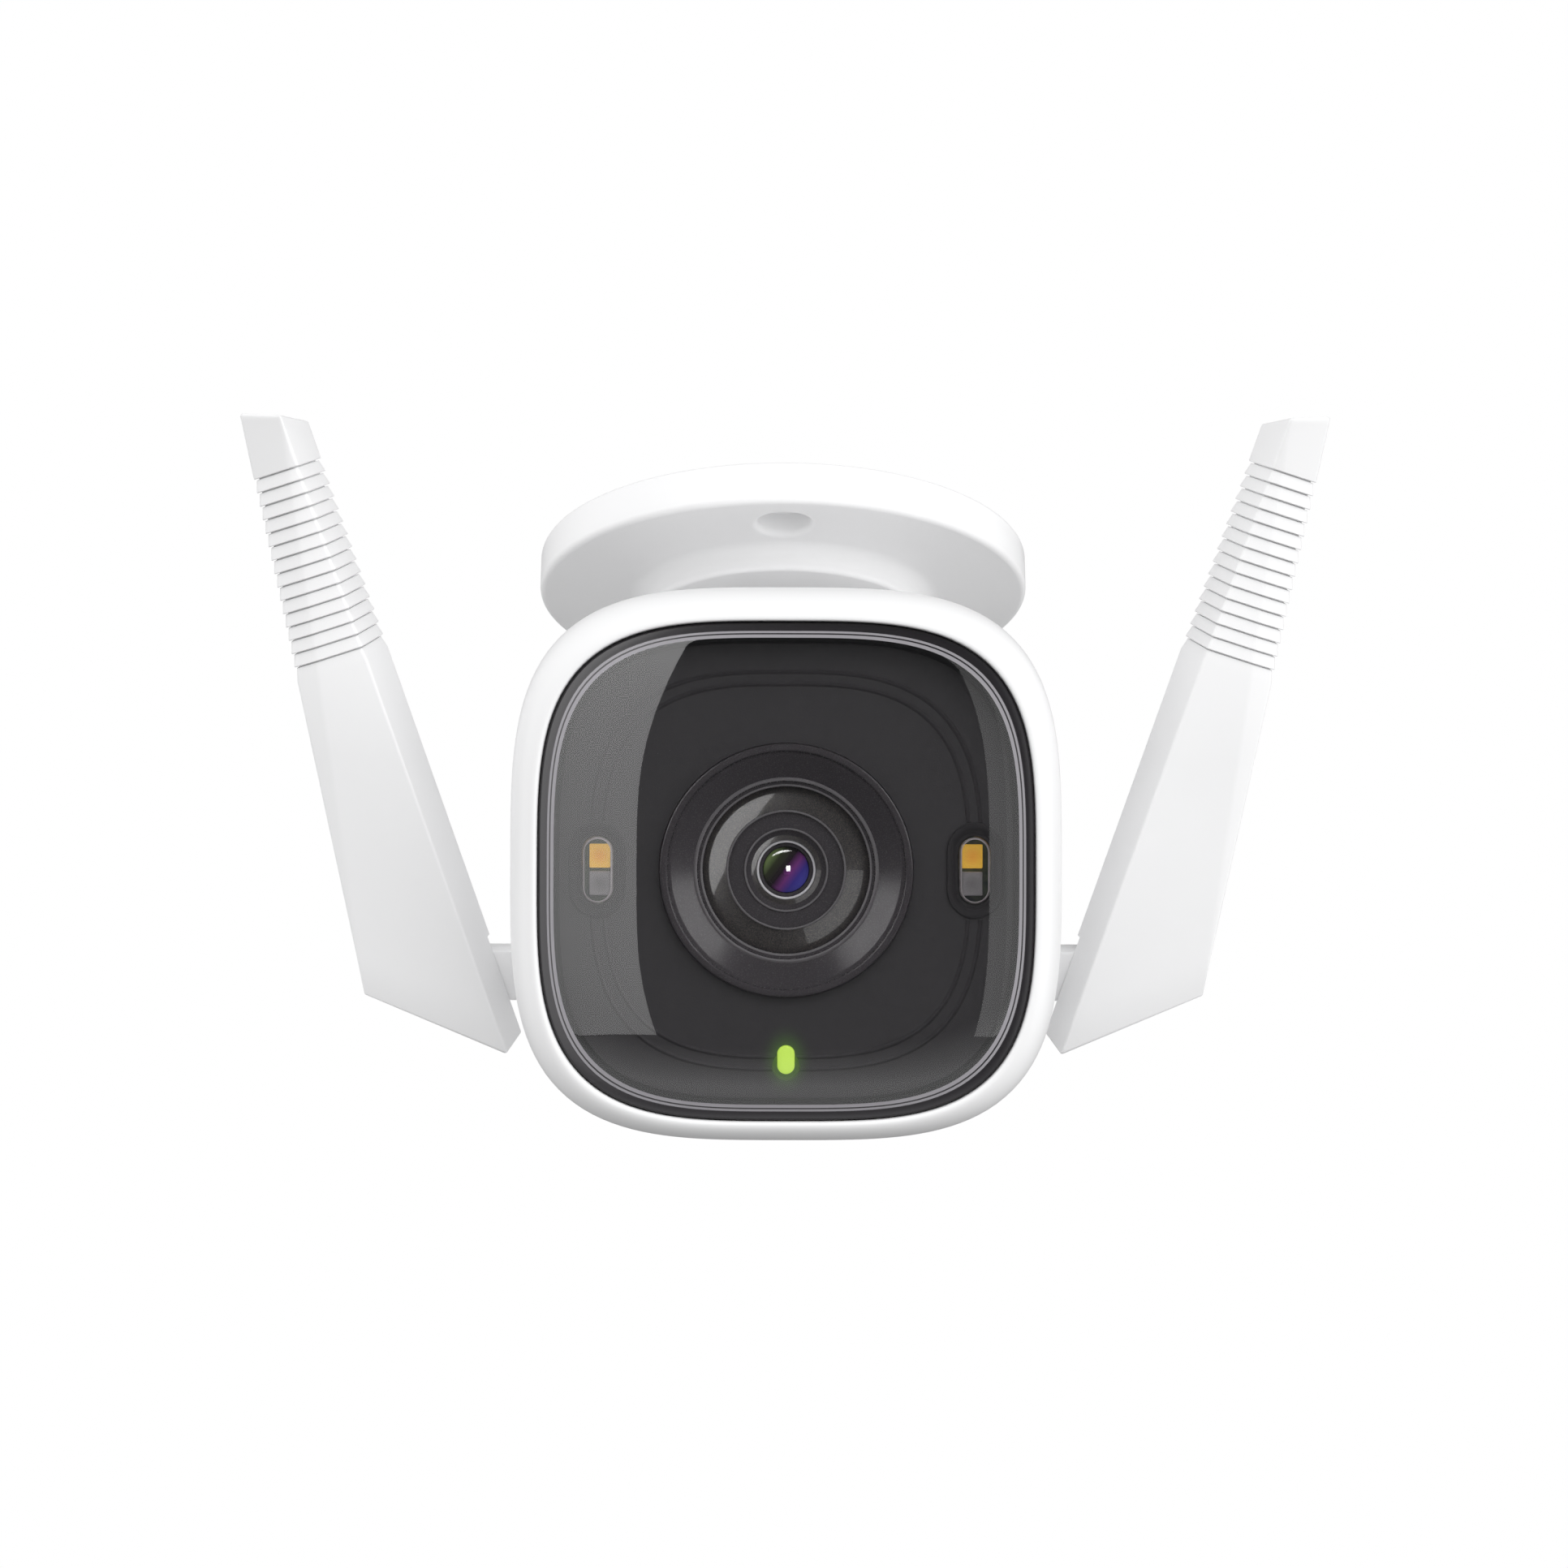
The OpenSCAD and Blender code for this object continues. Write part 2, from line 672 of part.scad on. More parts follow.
module lens_barrel() {
  z1 = barrel_front_z;
  profile = [
    [4.2, barrel_back_z], [barrel_thread_r, barrel_back_z], [barrel_thread_r, 55.5],
    [barrel_r, 55.5], [barrel_r, z1 - 0.3], [barrel_r - 0.3, z1], [barrel_r - 0.7, z1],
    [4.8, z1 - 1.2], [3.8, z1 - 1.2], [lens_r, z1 - 1.6], [lens_r, z1 - 4.6],
    [2.6, z1 - 4.6], [2.6, 53], [4.2, 52]];
  color(black_gloss) lens_frame() rotate_extrude($fn = 72) polygon(profile);
}

module front_lens() {
  z0 = barrel_front_z - 4.6;
  dome = [for (i = [0 : 5]) let (x = lens_r * (1 - i / 5)) [x, z0 + 2.2 + 1.1 * (1 - pow(x / lens_r, 2))]];
  color([0.3, 0.25, 0.5, 0.6]) lens_frame() rotate_extrude($fn = 48)
    polygon(concat([[0, z0], [lens_r, z0]], dome));
}

module inner_lens() {
  color([0.7, 0.75, 0.8, 0.6]) lens_frame() translate([0, 0, 48]) cylinder(r = 4.2, h = 2);
}

module lens_mount() {
  color(dark_grey) lens_frame() difference() {
    union() {
      translate([0, 0, mount_back_z]) cylinder(r = mount_r, h = light_board_z - mount_back_z);
      translate([0, 0, light_board_z - 2]) cylinder(r = mount_flange_r, h = 2);
      translate([-10, -10, mount_back_z]) cube([20, 20, 8]);
    }
    translate([0, 0, 40]) cylinder(r = barrel_thread_r + run_gap, h = 16);
    translate([0, 0, 55.5]) cylinder(r = barrel_r + 0.1, h = 6);
    translate([-8, -6, mount_back_z - cut]) cube([16, 12, 7]);
  }
}

module ir_cut_frame() {
  color(dark_grey) lens_frame() translate([0, 0, ir_frame_z]) difference() {
    translate([-8, -6, 0]) cube([16, 12, ir_frame_t]);
    translate([0, 0, -cut]) cylinder(r = 3, h = 5);
    translate([-7, -4, 0.9]) cube([14, 8, 1.2]);
  }
}

module ir_cut_slider() {
  color([0.5, 0.75, 0.75]) lens_frame() translate([-4.5, -3.8, ir_frame_z + 1.1])
    cube([9, 7.6, ir_slider_t]);
}

module image_sensor() {
  color([0.15, 0.15, 0.2]) lens_frame() translate([-4, -3, mount_back_z])
    cube([8, 6, sensor_t]);
}

module sensor_board() {
  color(board_green) lens_frame() translate([-11, -11, mount_back_z - board_t])
    cube([22, 22, board_t]);
}

// ---- Main electronics ----

module main_board() {
  color(board_green) front_frame() translate([0, 0, main_z]) difference() {
    translate([-main_half_w, -main_half_h, 0]) cube([2 * main_half_w, 2 * main_half_h, board_t]);
    at_corners(post_x, post_y) translate([0, 0, -cut]) cylinder(r = post_screw_r, h = 3);
  }
}

module heat_spreader() {
  color(steel) front_frame() translate([-13, -8, main_z + board_t]) {
    cube([26, 20, 1]);
    for (i = [0 : 5]) translate([i * 4.9, 0, 1]) cube([1.4, 20, 4]);
  }
}

module radio_shield() {
  color(steel) front_frame() translate([-10, -8, main_z - 2.4]) cube([20, 9, 2.4]);
}

module card_socket() {
  w = card_w + 3;
  color(steel) front_frame() translate([-w / 2, card_y + 1.4, card_z]) difference() {
    cube([w, card_l + 1.6, socket_t]);
    translate([(w - card_w) / 2 - 0.2, -cut, 0.35]) cube([card_w + 0.4, card_l + 1, card_t + 0.3]);
  }
}

module memory_card() {
  color(black_gloss) front_frame() translate([-card_w / 2, card_y, card_z + 0.5])
    cube([card_w, card_l, card_t]);
}

module reset_button() {
  color(white_body) front_frame() translate([reset_x, -half_h(cover_z) + cover_t + 1.4, cover_z + 3])
    rotate([-90, 0, 0]) {
      cylinder(r = reset_r, h = 5.4);
      translate([0, 0, 3.6]) cylinder(r = reset_r + 0.7, h = 1);
    }
}

module board_screws() {
  color(steel) front_frame() at_corners(post_x, post_y) translate([0, 0, main_z + board_t])
    screw(post_screw_r, 7, 2, 1.2);
}

module speaker() {
  color(dark_grey) front_frame() translate([0, -half_h(42, wall) + 1.2, 42]) rotate([-90, 0, 0]) {
    cylinder(r = 8, h = 3);
    translate([0, 0, 3]) cylinder(r = 5, h = 2.4);
  }
}

// ---- Underside cover ----

module card_cover() {
  color(white_body) underside_frame() difference() {
    union() {
      translate([-cover_w / 2, 0, hinge_z]) cube([cover_w, cover_t, cover_l / 2 - hinge_z]);
      translate([0, hinge_y, hinge_z]) x_cylinder(hinge_r, -cover_w / 2, cover_w / 2);
    }
    translate([0, hinge_y, hinge_z]) x_cylinder(cover_pin_r + run_gap, -15, 15);
    translate([0, -0.6, cover_l / 2 - 3]) x_cylinder(1, -4, 4);
  }
}

module cover_pin() {
  color(steel) underside_frame() translate([0, hinge_y, hinge_z])
    x_cylinder(cover_pin_r, -cover_pin_half, cover_pin_half);
}

module cable_gland() {
  color(dark_grey) front_frame() translate([0, -9, 0]) difference() {
    union() {
      translate([0, 0, -corner_r - 3]) cylinder(r = 6, h = 3);
      translate([0, 0, -corner_r - 8]) cylinder(r1 = 3.8, r2 = 4.8, h = 5);
      translate([0, 0, -corner_r]) cylinder(r = 4.6, h = 8);
    }
    translate([0, 0, -corner_r - 9]) cylinder(r = 2.6, h = 18);
  }
}

module antenna_leads() {
  x1 = hub_face_x - hub_shaft_l - 0.3;
  color(black_gloss) front_frame() for (side = [-1, 1])
    translate([side * (x1 - 0.9), 0, 0]) {
      translate([0, hub_y, main_z + board_t]) cylinder(r = 0.7, h = hub_z - main_z - board_t + 0.7);
    }
}

// ---- Antennas ----

module antenna_hub(side) {
  seal_x = hub_face_x - 2.4;
  end_x = hub_face_x - hub_shaft_l;
  back_z = tongue_z - tongue_t / 2;
  color(white_body) hub_frame(side) difference() {
    union() {
      x_cylinder(hub_r, hub_face_x + 0.2, hub_face_x + hub_l);
      x_cylinder(hub_shaft_r, end_x, hub_face_x + 0.6);
      translate([pin_x, 0, back_z]) cylinder(r = tongue_r, h = tongue_t);
      translate([hub_face_x + 0.6, -tongue_r, back_z])
        cube([pin_x - hub_face_x - 0.6, 2 * tongue_r, tongue_t]);
      translate([hub_face_x + 0.6, -tongue_r, back_z]) cube([root_l, 2 * tongue_r, root_front - back_z]);
    }
    x_cylinder(hub_bore_r, end_x - 1, hub_face_x + 4);
    translate([pin_x, 0, tongue_z - tongue_t]) cylinder(r = pin_r + run_gap, h = 2 * tongue_t);
    translate([seal_x - seal_w / 2, 0, 0]) rotate([0, 90, 0]) ring(4, 2.3, seal_w);
    translate([end_x + 1, 0, 0]) rotate([0, 90, 0]) ring(4, 2.4, clip_t);
  }
}

module hub_seal(side) {
  color(black_gloss) hub_frame(side) translate([hub_face_x - 2.4 - seal_w / 2, 0, 0])
    rotate([0, 90, 0]) ring(hub_shaft_r, 2.3, seal_w);
}

module hub_clip(side) {
  color(steel) hub_frame(side) translate([hub_face_x - hub_shaft_l + 1, 0, 0]) rotate([0, 90, 0])
    ring(clip_r, 2.4, clip_t);
}

module hinge_pin(side) {
  back_z = tongue_z - tongue_t / 2 + 0.2;
  color(steel) blade_frame(side) translate([pin_inset, 0, back_z])
    cylinder(r = pin_r, h = blade_half_t - 1.2 - back_z);
}

// Corner points of the blade's front and rear faces, drawn in by inset
function blade_points(inset) = [for (z = [blade_half_t - inset, -blade_half_t + inset])
  let (slant = blade_slant * (blade_half_t - z) / (2 * blade_half_t),
       tip_drop = inset + (z > 0 ? 0 : blade_tip_slope),
       edge = z > 0 ? z - blade_edge_drop : z)
  each [[inset - slant, blade_tip_in - tip_drop, z],
        [blade_tip_w - inset, blade_tip_out - tip_drop, edge],
        [blade_root_w - inset, blade_root_out + inset, z],
        [inset - slant, blade_root_in + inset, z]]];

// Room in the blade's rear for the hub's tongue, from splay 0 to 90 degrees
module lap() {
  r = tongue_r + lap_gap;
  reach = 14;
  t = tongue_z + tongue_t / 2 + lap_gap / 2 + blade_half_t + 1;
  translate([pin_inset, 0, -blade_half_t - 1]) {
    cylinder(r = r, h = t);
    translate([-reach, -reach, 0]) cube([reach + r, reach, t]);
    translate([-reach, -reach, 0]) cube([reach, reach + r, t]);
  }
}

module blade_solid(inset) {
  hull() polyhedron(blade_points(inset), [[0, 1, 2], [0, 2, 3], [7, 6, 5], [7, 5, 4],
    [0, 4, 5], [0, 5, 1], [1, 5, 6], [1, 6, 2], [2, 6, 7], [2, 7, 3], [3, 7, 4], [3, 4, 0]]);
}

module antenna_blade(side) {
  color(white_body) blade_frame(side) difference() {
    union() {
      blade_solid(groove_d);
      intersection() {
        blade_solid(0);
        union() {
          translate([-10, -20, -10]) cube([40, groove_from + 20 - groove_w / 2, 20]);
          for (i = [0 : grooves - 1])
            translate([-10, groove_from + i * groove_pitch + groove_w / 2, -10])
              cube([40, (i == grooves - 1 ? 20 : groove_pitch - groove_w), 20]);
        }
      }
    }
    lap();
    translate([pin_inset, 0, -blade_half_t - 1]) cylinder(r = pin_r, h = 2 * blade_half_t);
    translate([1.6, 3, -0.9]) cube([2.8, 68, 1.8]);
    translate([1.6, 2, -4]) cube([2.8, 1.6, 4.4]);
  }
}

module radiator(side) {
  color(gold) blade_frame(side) translate([1.7, 8, -0.4]) cube([2.6, 60, 0.8]);
}

module left_antenna_hub() { antenna_hub(-1); }
module right_antenna_hub() { antenna_hub(1); }
module left_hub_seal() { hub_seal(-1); }
module right_hub_seal() { hub_seal(1); }
module left_hub_clip() { hub_clip(-1); }
module right_hub_clip() { hub_clip(1); }
module left_hinge_pin() { hinge_pin(-1); }
module right_hinge_pin() { hinge_pin(1); }
module left_antenna_blade() { antenna_blade(-1); }
module right_antenna_blade() { antenna_blade(1); }
module left_radiator() { radiator(-1); }
module right_radiator() { radiator(1); }

base_plate();
ceiling_pad();
pan_bush();
ball_stem();
pan_washer();
pan_screw();
rear_shell();
front_ring();
housing_gasket();
housing_screws();
socket_cup();
socket_cap();
clamp_screws();
front_window();
window_gasket();
face_plate();
lens_surround();
lens_barrel();
front_lens();
inner_lens();
lens_mount();
ir_cut_frame();
ir_cut_slider();
image_sensor();
sensor_board();
left_light_bezel();
right_light_bezel();
left_light_cover();
right_light_cover();
white_leds();
infrared_leds();
light_board();
status_led();
status_light_pipe();
microphone();
microphone_boot();
main_board();
heat_spreader();
radio_shield();
card_socket();
memory_card();
reset_button();
board_screws();
speaker();
card_cover();
cover_pin();
cable_gland();
antenna_leads();
left_antenna_hub();
left_hub_seal();
left_hub_clip();
left_hinge_pin();
left_antenna_blade();
left_radiator();
right_antenna_hub();
right_hub_seal();
right_hub_clip();
right_hinge_pin();
right_antenna_blade();
right_radiator();
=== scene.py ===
"""Looks for a ceiling-hung security camera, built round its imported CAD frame.

Each piece is modelled in millimetres in a local frame (front, lens, hub, blade or cover) that is
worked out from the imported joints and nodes, and then placed by that frame's matrix. The row frame is
the CAD's own, in metres. Names ending in _M hold metres, and all other lengths are in millimetres.
"""
import json
import math

import bmesh
import bpy
from mathutils import Matrix, Vector


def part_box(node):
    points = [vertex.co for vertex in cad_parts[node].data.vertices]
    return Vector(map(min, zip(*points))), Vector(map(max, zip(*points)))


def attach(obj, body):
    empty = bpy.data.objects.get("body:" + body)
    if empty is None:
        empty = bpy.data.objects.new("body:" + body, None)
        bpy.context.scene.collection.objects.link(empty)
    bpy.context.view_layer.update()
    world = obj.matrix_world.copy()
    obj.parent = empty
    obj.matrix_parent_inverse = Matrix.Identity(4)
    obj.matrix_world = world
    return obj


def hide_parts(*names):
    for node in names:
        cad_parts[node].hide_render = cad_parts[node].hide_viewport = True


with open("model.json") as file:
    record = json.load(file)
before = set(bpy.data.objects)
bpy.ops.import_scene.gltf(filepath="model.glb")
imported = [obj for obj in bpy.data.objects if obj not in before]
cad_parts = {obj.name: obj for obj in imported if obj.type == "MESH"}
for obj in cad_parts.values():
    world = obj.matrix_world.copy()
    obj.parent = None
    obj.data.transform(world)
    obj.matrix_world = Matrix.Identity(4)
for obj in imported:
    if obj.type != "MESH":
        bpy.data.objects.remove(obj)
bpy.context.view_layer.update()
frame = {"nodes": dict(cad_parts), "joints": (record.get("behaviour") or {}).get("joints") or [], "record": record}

MM = 0.001
NODES = frame["nodes"]
JOINTS = {joint["name"]: joint for joint in frame["joints"]}
SLOT_OF = {part["node"]: part["material_slot"] for part in frame["record"]["subparts"]}
SMOOTH_ANGLE = 32

# Housing, in the front frame: x right, y up from the centre line, z forward from the ball
OUTLINE_POINTS = 192
SQUARENESS = 3.5
REAR_HALF_W = 29.0
REAR_HALF_H = 28.3
WALL = 2.4
SEAM_DROP = 0.22
SEAM_Z = 54.0
LEDGE_Z = 60.2
LEDGE_HALF = 25.5
SECTION_Z = 61.6
MIC_Z = 61.7
GLAND_Y = -9.0

# Card cover, in a frame on the underside: y inward, z forward
COVER_Z = 19.0
COVER_HALF = 10.0
COVER_GAP = 0.35
COVER_T = 1.8
HINGE_Z = -8.1
HINGE_R = 1.5
HINGE_Y = 1.8

# Window, face and lights, in the lens frame: z along the lens from the ball
WINDOW_FIT = 0.15
CROWN = 1.35
CROWN_POWER = 6.5
RIM_W = 1.0
STEP_W = 0.8
RIDGES = ((22.5, 22.9), (21.1, 21.5))
RIDGE_POWER = 3.0
RIDGE_H = 0.3
LIGHT_X = 21.75
CHIP_W = 2.4
# Green of the status light's glow, painted as emission on the face plate round it
PAINTED_STATUS_GLOW = (0.30, 0.85, 0.04)

# Lens: the surround's radius, the shoulders' radius of curvature, and the front element's painted coating
# reflections: the axis they sweep along and their colours
SURROUND_R = 14.7
GLASS_CURVE = 30.0
BARREL_SEAT_Z = 55.5
LENS_GLASS_R = 2.65
LENS_CROWN = 0.6
COATING_REFLECTION_AXIS = (0.8, 0.17, -0.57)
COATING_REFLECTION_COLOURS = ((0.0, (0.30, 0.42, 0.16)), (0.22, (0.05, 0.06, 0.03)), (0.45, (0.03, 0.015, 0.03)),
           (0.62, (0.22, 0.05, 0.26)), (0.8, (0.07, 0.05, 0.38)), (1.0, (0.10, 0.10, 0.55)))

# Ceiling plate and stem, about the pan axis
COLLAR_R = 20.4
COLLAR_H = 3.5
COLLAR_FILLET = 2.2
SCREWS = 3
SCREW_CIRCLE_R = 27.5
RECESS_R = 3.6
SCREW_HOLE_R = 2.2
NECK_R = 5.0
FLANGE_R = 11.0

# Antenna hinge, in the hub frame: x outward, y up, z forward
HUB_FACE_X = 31.5
TONGUE_R = 3.4
TONGUE_T = 4.2
TONGUE_Z = -5.6
ROOT_L = 0.45
ROOT_FRONT = 3.0
LAP_GAP = 0.3
PIN_INSET = 5.0

# Antenna blade, in the blade frame: x across from the inner front edge, y along, z forward
BLADE_HALF_T = 4.7
SLANT = 1.3
TIP_IN, TIP_OUT, TIP_W, TIP_SLOPE = 75.7, 77.3, 5.1, 1.6
ROOT_IN, ROOT_OUT, ROOT_W = -10.15, 2.9, 14.9
EDGE_DROP = 1.7
EDGE_ROUND = 0.3
GROOVES, GROOVE_FROM, GROOVE_PITCH, GROOVE_D, SLIT_D = 15, 45.5, 1.686, 0.28, 0.3

# ---------------------------------------------------------------- frames


def extent(node, direction, origin):
    """Lowest and highest point of a CAD node along a direction from an origin, in millimetres."""
    along = [(v.co - origin).dot(direction) / MM for v in NODES[node].data.vertices]
    return min(along), max(along)


def frame_matrix(x_axis, y_axis, z_axis, origin):
    """Matrix that takes millimetres in a local frame to metres in the row frame."""
    columns = Matrix((x_axis, y_axis, z_axis)).transposed().to_4x4()
    return Matrix.Translation(origin) @ columns @ Matrix.Scale(MM, 4)


def joint_point(name):
    return Vector(JOINTS[name]["pos_m"])


ROW = Matrix.Scale(MM, 4)
RIGHT = Vector((1, 0, 0))
BALL = joint_point("tilt")
UP = Vector(JOINTS["card_push"]["axis"]).normalized()
FORWARD = RIGHT.cross(UP)


def centred_frame(node):
    """Front frame raised or lowered so that a node's middle lies on its z axis."""
    low, high = extent(node, UP, BALL)
    return frame_matrix(RIGHT, UP, FORWARD, BALL + UP * (low + high) / 2 * MM)


FRONT = centred_frame("front_ring")
LENS = centred_frame("lens_surround")


def hub_axes(side):
    """Outward, up and forward axes and the hinge point of the left (-1) or right (1) antenna hub."""
    joint = JOINTS["left_fold" if side < 0 else "right_fold"]
    forward = Vector(joint["axis"]).normalized()
    if forward.y > 0:
        forward = -forward
    return RIGHT * side, forward.cross(RIGHT), forward, Vector(joint["pos_m"])


def hub_frame(side):
    """Hub frame: x outward along the swivel axis from the housing's middle, y up, z forward."""
    out, up, forward, hinge = hub_axes(side)
    return frame_matrix(out, up, forward, Vector((0, hinge.y, hinge.z)))


def blade_frame(side):
    """Blade frame: x across, outward from the inner front edge, y along the blade, z forward."""
    out, up, forward, hinge = hub_axes(side)
    splay = math.radians(-JOINTS["left_fold"]["range_deg"][0])
    across = out * math.cos(splay) - up * math.sin(splay)
    along = out * math.sin(splay) + up * math.cos(splay)
    return frame_matrix(across, along, forward, hinge - across * PIN_INSET * MM)


def local_box(node, place):
    """Lowest and highest corner of a CAD node in a local frame, in millimetres."""
    inverse = place.inverted()
    points = [inverse @ v.co for v in NODES[node].data.vertices]
    low = Vector([min(p[i] for p in points) for i in range(3)])
    high = Vector([max(p[i] for p in points) for i in range(3)])
    return low, high


# ---------------------------------------------------------------- shapes


def outline(half_w, half_h, power=SQUARENESS, count=OUTLINE_POINTS):
    """Points of a rounded square with the given half sizes."""
    points = []
    for i in range(count):
        t = math.tau * i / count
        c, s = math.cos(t), math.sin(t)
        r = (abs(c / half_w) ** power + abs(s / half_h) ** power) ** (-1 / power)
        points.append((r * c, r * s))
    return points


def ring(half_w, half_h, z, drop=0.0, power=SQUARENESS):
    return [(x, y - drop, z) for x, y in outline(half_w, half_h, power)]


def capsule_ring(width, length, z, steps=16):
    """Upright capsule outline at height z, with the same number of points at any size."""
    radius = width / 2
    straight = (length - width) / 2
    points = []
    for i in range(2 * steps + 2):
        upper = i <= steps
        t = math.pi * (i if upper else i - 1) / steps
        points.append((radius * math.cos(t), radius * math.sin(t) + (straight if upper else -straight), z))
    return points


def capsules(profile, closed=False, bands=None):
    """Skin through upright capsules of (width, length, height)."""
    return loft([capsule_ring(*level) for level in profile], closed, bands)


def fillet(centre, radius, start, end, steps=6):
    """Points of an arc in a profile, angles in degrees."""
    points = []
    for i in range(steps + 1):
        t = math.radians(start + (end - start) * i / steps)
        points.append((centre[0] + radius * math.cos(t), centre[1] + radius * math.sin(t)))
    return points


def loft(rings, closed=False, bands=None):
    """Points, faces and face materials of a skin through rings; an open loft gets end faces."""
    count = len(rings[0])
    points = [p for r in rings for p in r]
    spans = len(rings) if closed else len(rings) - 1
    faces, tags = [], []
    for j in range(spans):
        low, high = j * count, (j + 1) % len(rings) * count
        for i in range(count):
            k = (i + 1) % count
            faces.append((low + i, low + k, high + k, high + i))
            tags.append(bands[j] if bands else 0)
    if not closed:
        faces.append(tuple(range(count)))
        faces.append(tuple(range(len(points) - count, len(points))))
        tags += [bands[0], bands[-1]] if bands else [0, 0]
    return points, faces, tags


def circle(radius, z, steps):
    turns = [math.tau * i / steps for i in range(steps)]
    return [(radius * math.cos(t), radius * math.sin(t), z) for t in turns]


def lathe(profile, steps=128, closed=True, bands=None):
    """Profile of (radius, height) points turned about z."""
    return loft([circle(radius, z, steps) for radius, z in profile], closed, bands)


def box_shape(low, high):
    """Box between two corners."""
    corners = [(low[0], low[1]), (high[0], low[1]), (high[0], high[1]), (low[0], high[1])]
    return prism(corners, low[2], high[2])


def prism(points, low, high):
    """Flat outline of (x, y) points raised from low to high."""
    return loft([[(x, y, z) for x, y in points] for z in (low, high)])


def across_x(points, half_width):
    """Flat outline of (y, z) points carried across x."""
    return loft([[(x, y, z) for y, z in points] for x in (-half_width, half_width)])


def along_x(shape):
    """Turns a shape's z axis to point along x."""
    points, faces, tags = shape
    return [(z, y, -x) for x, y, z in points], faces, tags


def moved(shape, x=0.0, y=0.0, z=0.0):
    points, faces, tags = shape
    return [(p[0] + x, p[1] + y, p[2] + z) for p in points], faces, tags


def rod(radius, z0, z1, steps=64):
    return loft([circle(radius, z, steps) for z in (z0, z1)])


# ---------------------------------------------------------------- materials

MATERIALS = {}


def feed(tree, target, inputs):
    """Sets a node's inputs, each to a value or to the output of another node."""
    for key, value in inputs.items():
        if isinstance(value, bpy.types.NodeSocket):
            tree.links.new(value, target.inputs[key])
        else:
            target.inputs[key].default_value = value


def added(tree, kind, inputs, output=0, **settings):
    """Adds a shader node with its settings and inputs, and returns one of its outputs."""
    node = tree.nodes.new("ShaderNode" + kind)
    for key, value in settings.items():
        setattr(node, key, value)
    feed(tree, node, inputs)
    return node.outputs[output]


def coordinates(tree):
    return added(tree, "TexCoord", {}, "Object")


def new_material(name):
    """Material kept under its name, with its node tree and its main shader."""
    material = bpy.data.materials.new(name)
    material.use_nodes = True
    MATERIALS[name] = material
    return material.node_tree, material.node_tree.nodes["Principled BSDF"]


def noise(tree, place, size_mm, detail=2.0):
    """Noise with features of the given size."""
    return added(tree, "TexNoise", {"Vector": place, "Scale": 1 / (size_mm * MM), "Detail": detail}, "Fac")


def ranged(tree, value, low, high, from_low=0.3, from_high=0.7):
    """Value carried from one range to another."""
    return added(tree, "MapRange", {"Value": value, "From Min": from_low, "From Max": from_high,
                                    "To Min": low, "To Max": high}, "Result")


def mixed(tree, factor, first, second):
    colours = {"Factor": factor, "A": (*first, 1), "B": (*second, 1)}
    return added(tree, "Mix", colours, "Result", data_type="RGBA")


def bumped(tree, shader, height, depth_mm):
    bump = {"Strength": 1.0, "Distance": depth_mm * MM, "Height": height}
    feed(tree, shader, {"Normal": added(tree, "Bump", bump, "Normal")})


def moulded(name, colour, roughness, grain_mm=0.18, depth_mm=0.006, tint=0.03, spread=0.05):
    """Moulded surface: a fine grain in its height, and slow variation in its colour and shine."""
    tree, shader = new_material(name)
    grain = noise(tree, coordinates(tree), grain_mm)
    patches = noise(tree, coordinates(tree), 14.0)
    darker = [c * (1 - tint) for c in colour]
    lighter = [min(1.0, c * (1 + tint)) for c in colour]
    feed(tree, shader, {"Base Color": mixed(tree, patches, darker, lighter),
                        "Roughness": ranged(tree, grain, roughness - spread, roughness + spread)})
    bumped(tree, shader, grain, depth_mm)
    return tree, shader


def metal(name, colour, roughness, line_mm=0.08, length_mm=3.0):
    """Metal with fine drawn lines along its length."""
    tree, shader = new_material(name)
    stretch = {"Vector": coordinates(tree), "Scale": (1, line_mm / length_mm, 1)}
    lines = noise(tree, added(tree, "Mapping", stretch, "Vector"), line_mm)
    feed(tree, shader, {"Base Color": mixed(tree, lines, [c * 0.85 for c in colour], colour),
                        "Roughness": ranged(tree, lines, roughness - 0.08, roughness + 0.08),
                        "Metallic": 1.0})
    bumped(tree, shader, lines, 0.004)


def pane(name, colour, alpha, roughness=0.03, ior=1.9, smear_mm=9.0):
    """Thin clear or smoked pane: see-through by alpha, with faint smears in its shine."""
    tree, shader = new_material(name)
    smears = noise(tree, coordinates(tree), smear_mm, 4.0)
    feed(tree, shader, {"Base Color": mixed(tree, smears, [c * 0.9 for c in colour], colour),
                        "Roughness": ranged(tree, smears, roughness * 0.5, roughness * 1.5),
                        "Alpha": alpha, "IOR": ior})


def distance_from(tree, point, scale=(1, 1, 1)):
    """Distance in millimetres from a point of the row frame, with the axes stretched by scale."""
    shift = added(tree, "VectorMath", {0: coordinates(tree), 1: point}, operation="SUBTRACT")
    stretch = added(tree, "VectorMath", {0: shift, 1: [s / MM for s in scale]}, operation="MULTIPLY")
    return added(tree, "VectorMath", {0: stretch}, "Value", operation="LENGTH")


def node_centre(node):
    low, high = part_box(node)
    return (low + high) / 2


def face_material(name, colour, roughness):
    """Black face plate, with a painted glow: the status light's green light painted as emission on the plate round
    it.
    """
    tree, shader = moulded(name, colour, roughness, grain_mm=0.16, depth_mm=0.012, tint=0.05)
    reach = distance_from(tree, node_centre("status_light_pipe"), (1.0, 0.8, 0.72))
    painted_glow_falloff = added(tree, "Math", {0: ranged(tree, reach, 1.0, 0.0, 0.8, 3.6), 1: 2.6}, operation="POWER")
    # Painted light: the green glow round the status light is emission on the plate, standing in for the light it
    # casts.
    feed(tree, shader, {"Emission Color": mixed(tree, painted_glow_falloff, (0, 0, 0), PAINTED_STATUS_GLOW),
                        "Emission Strength": 0.3})


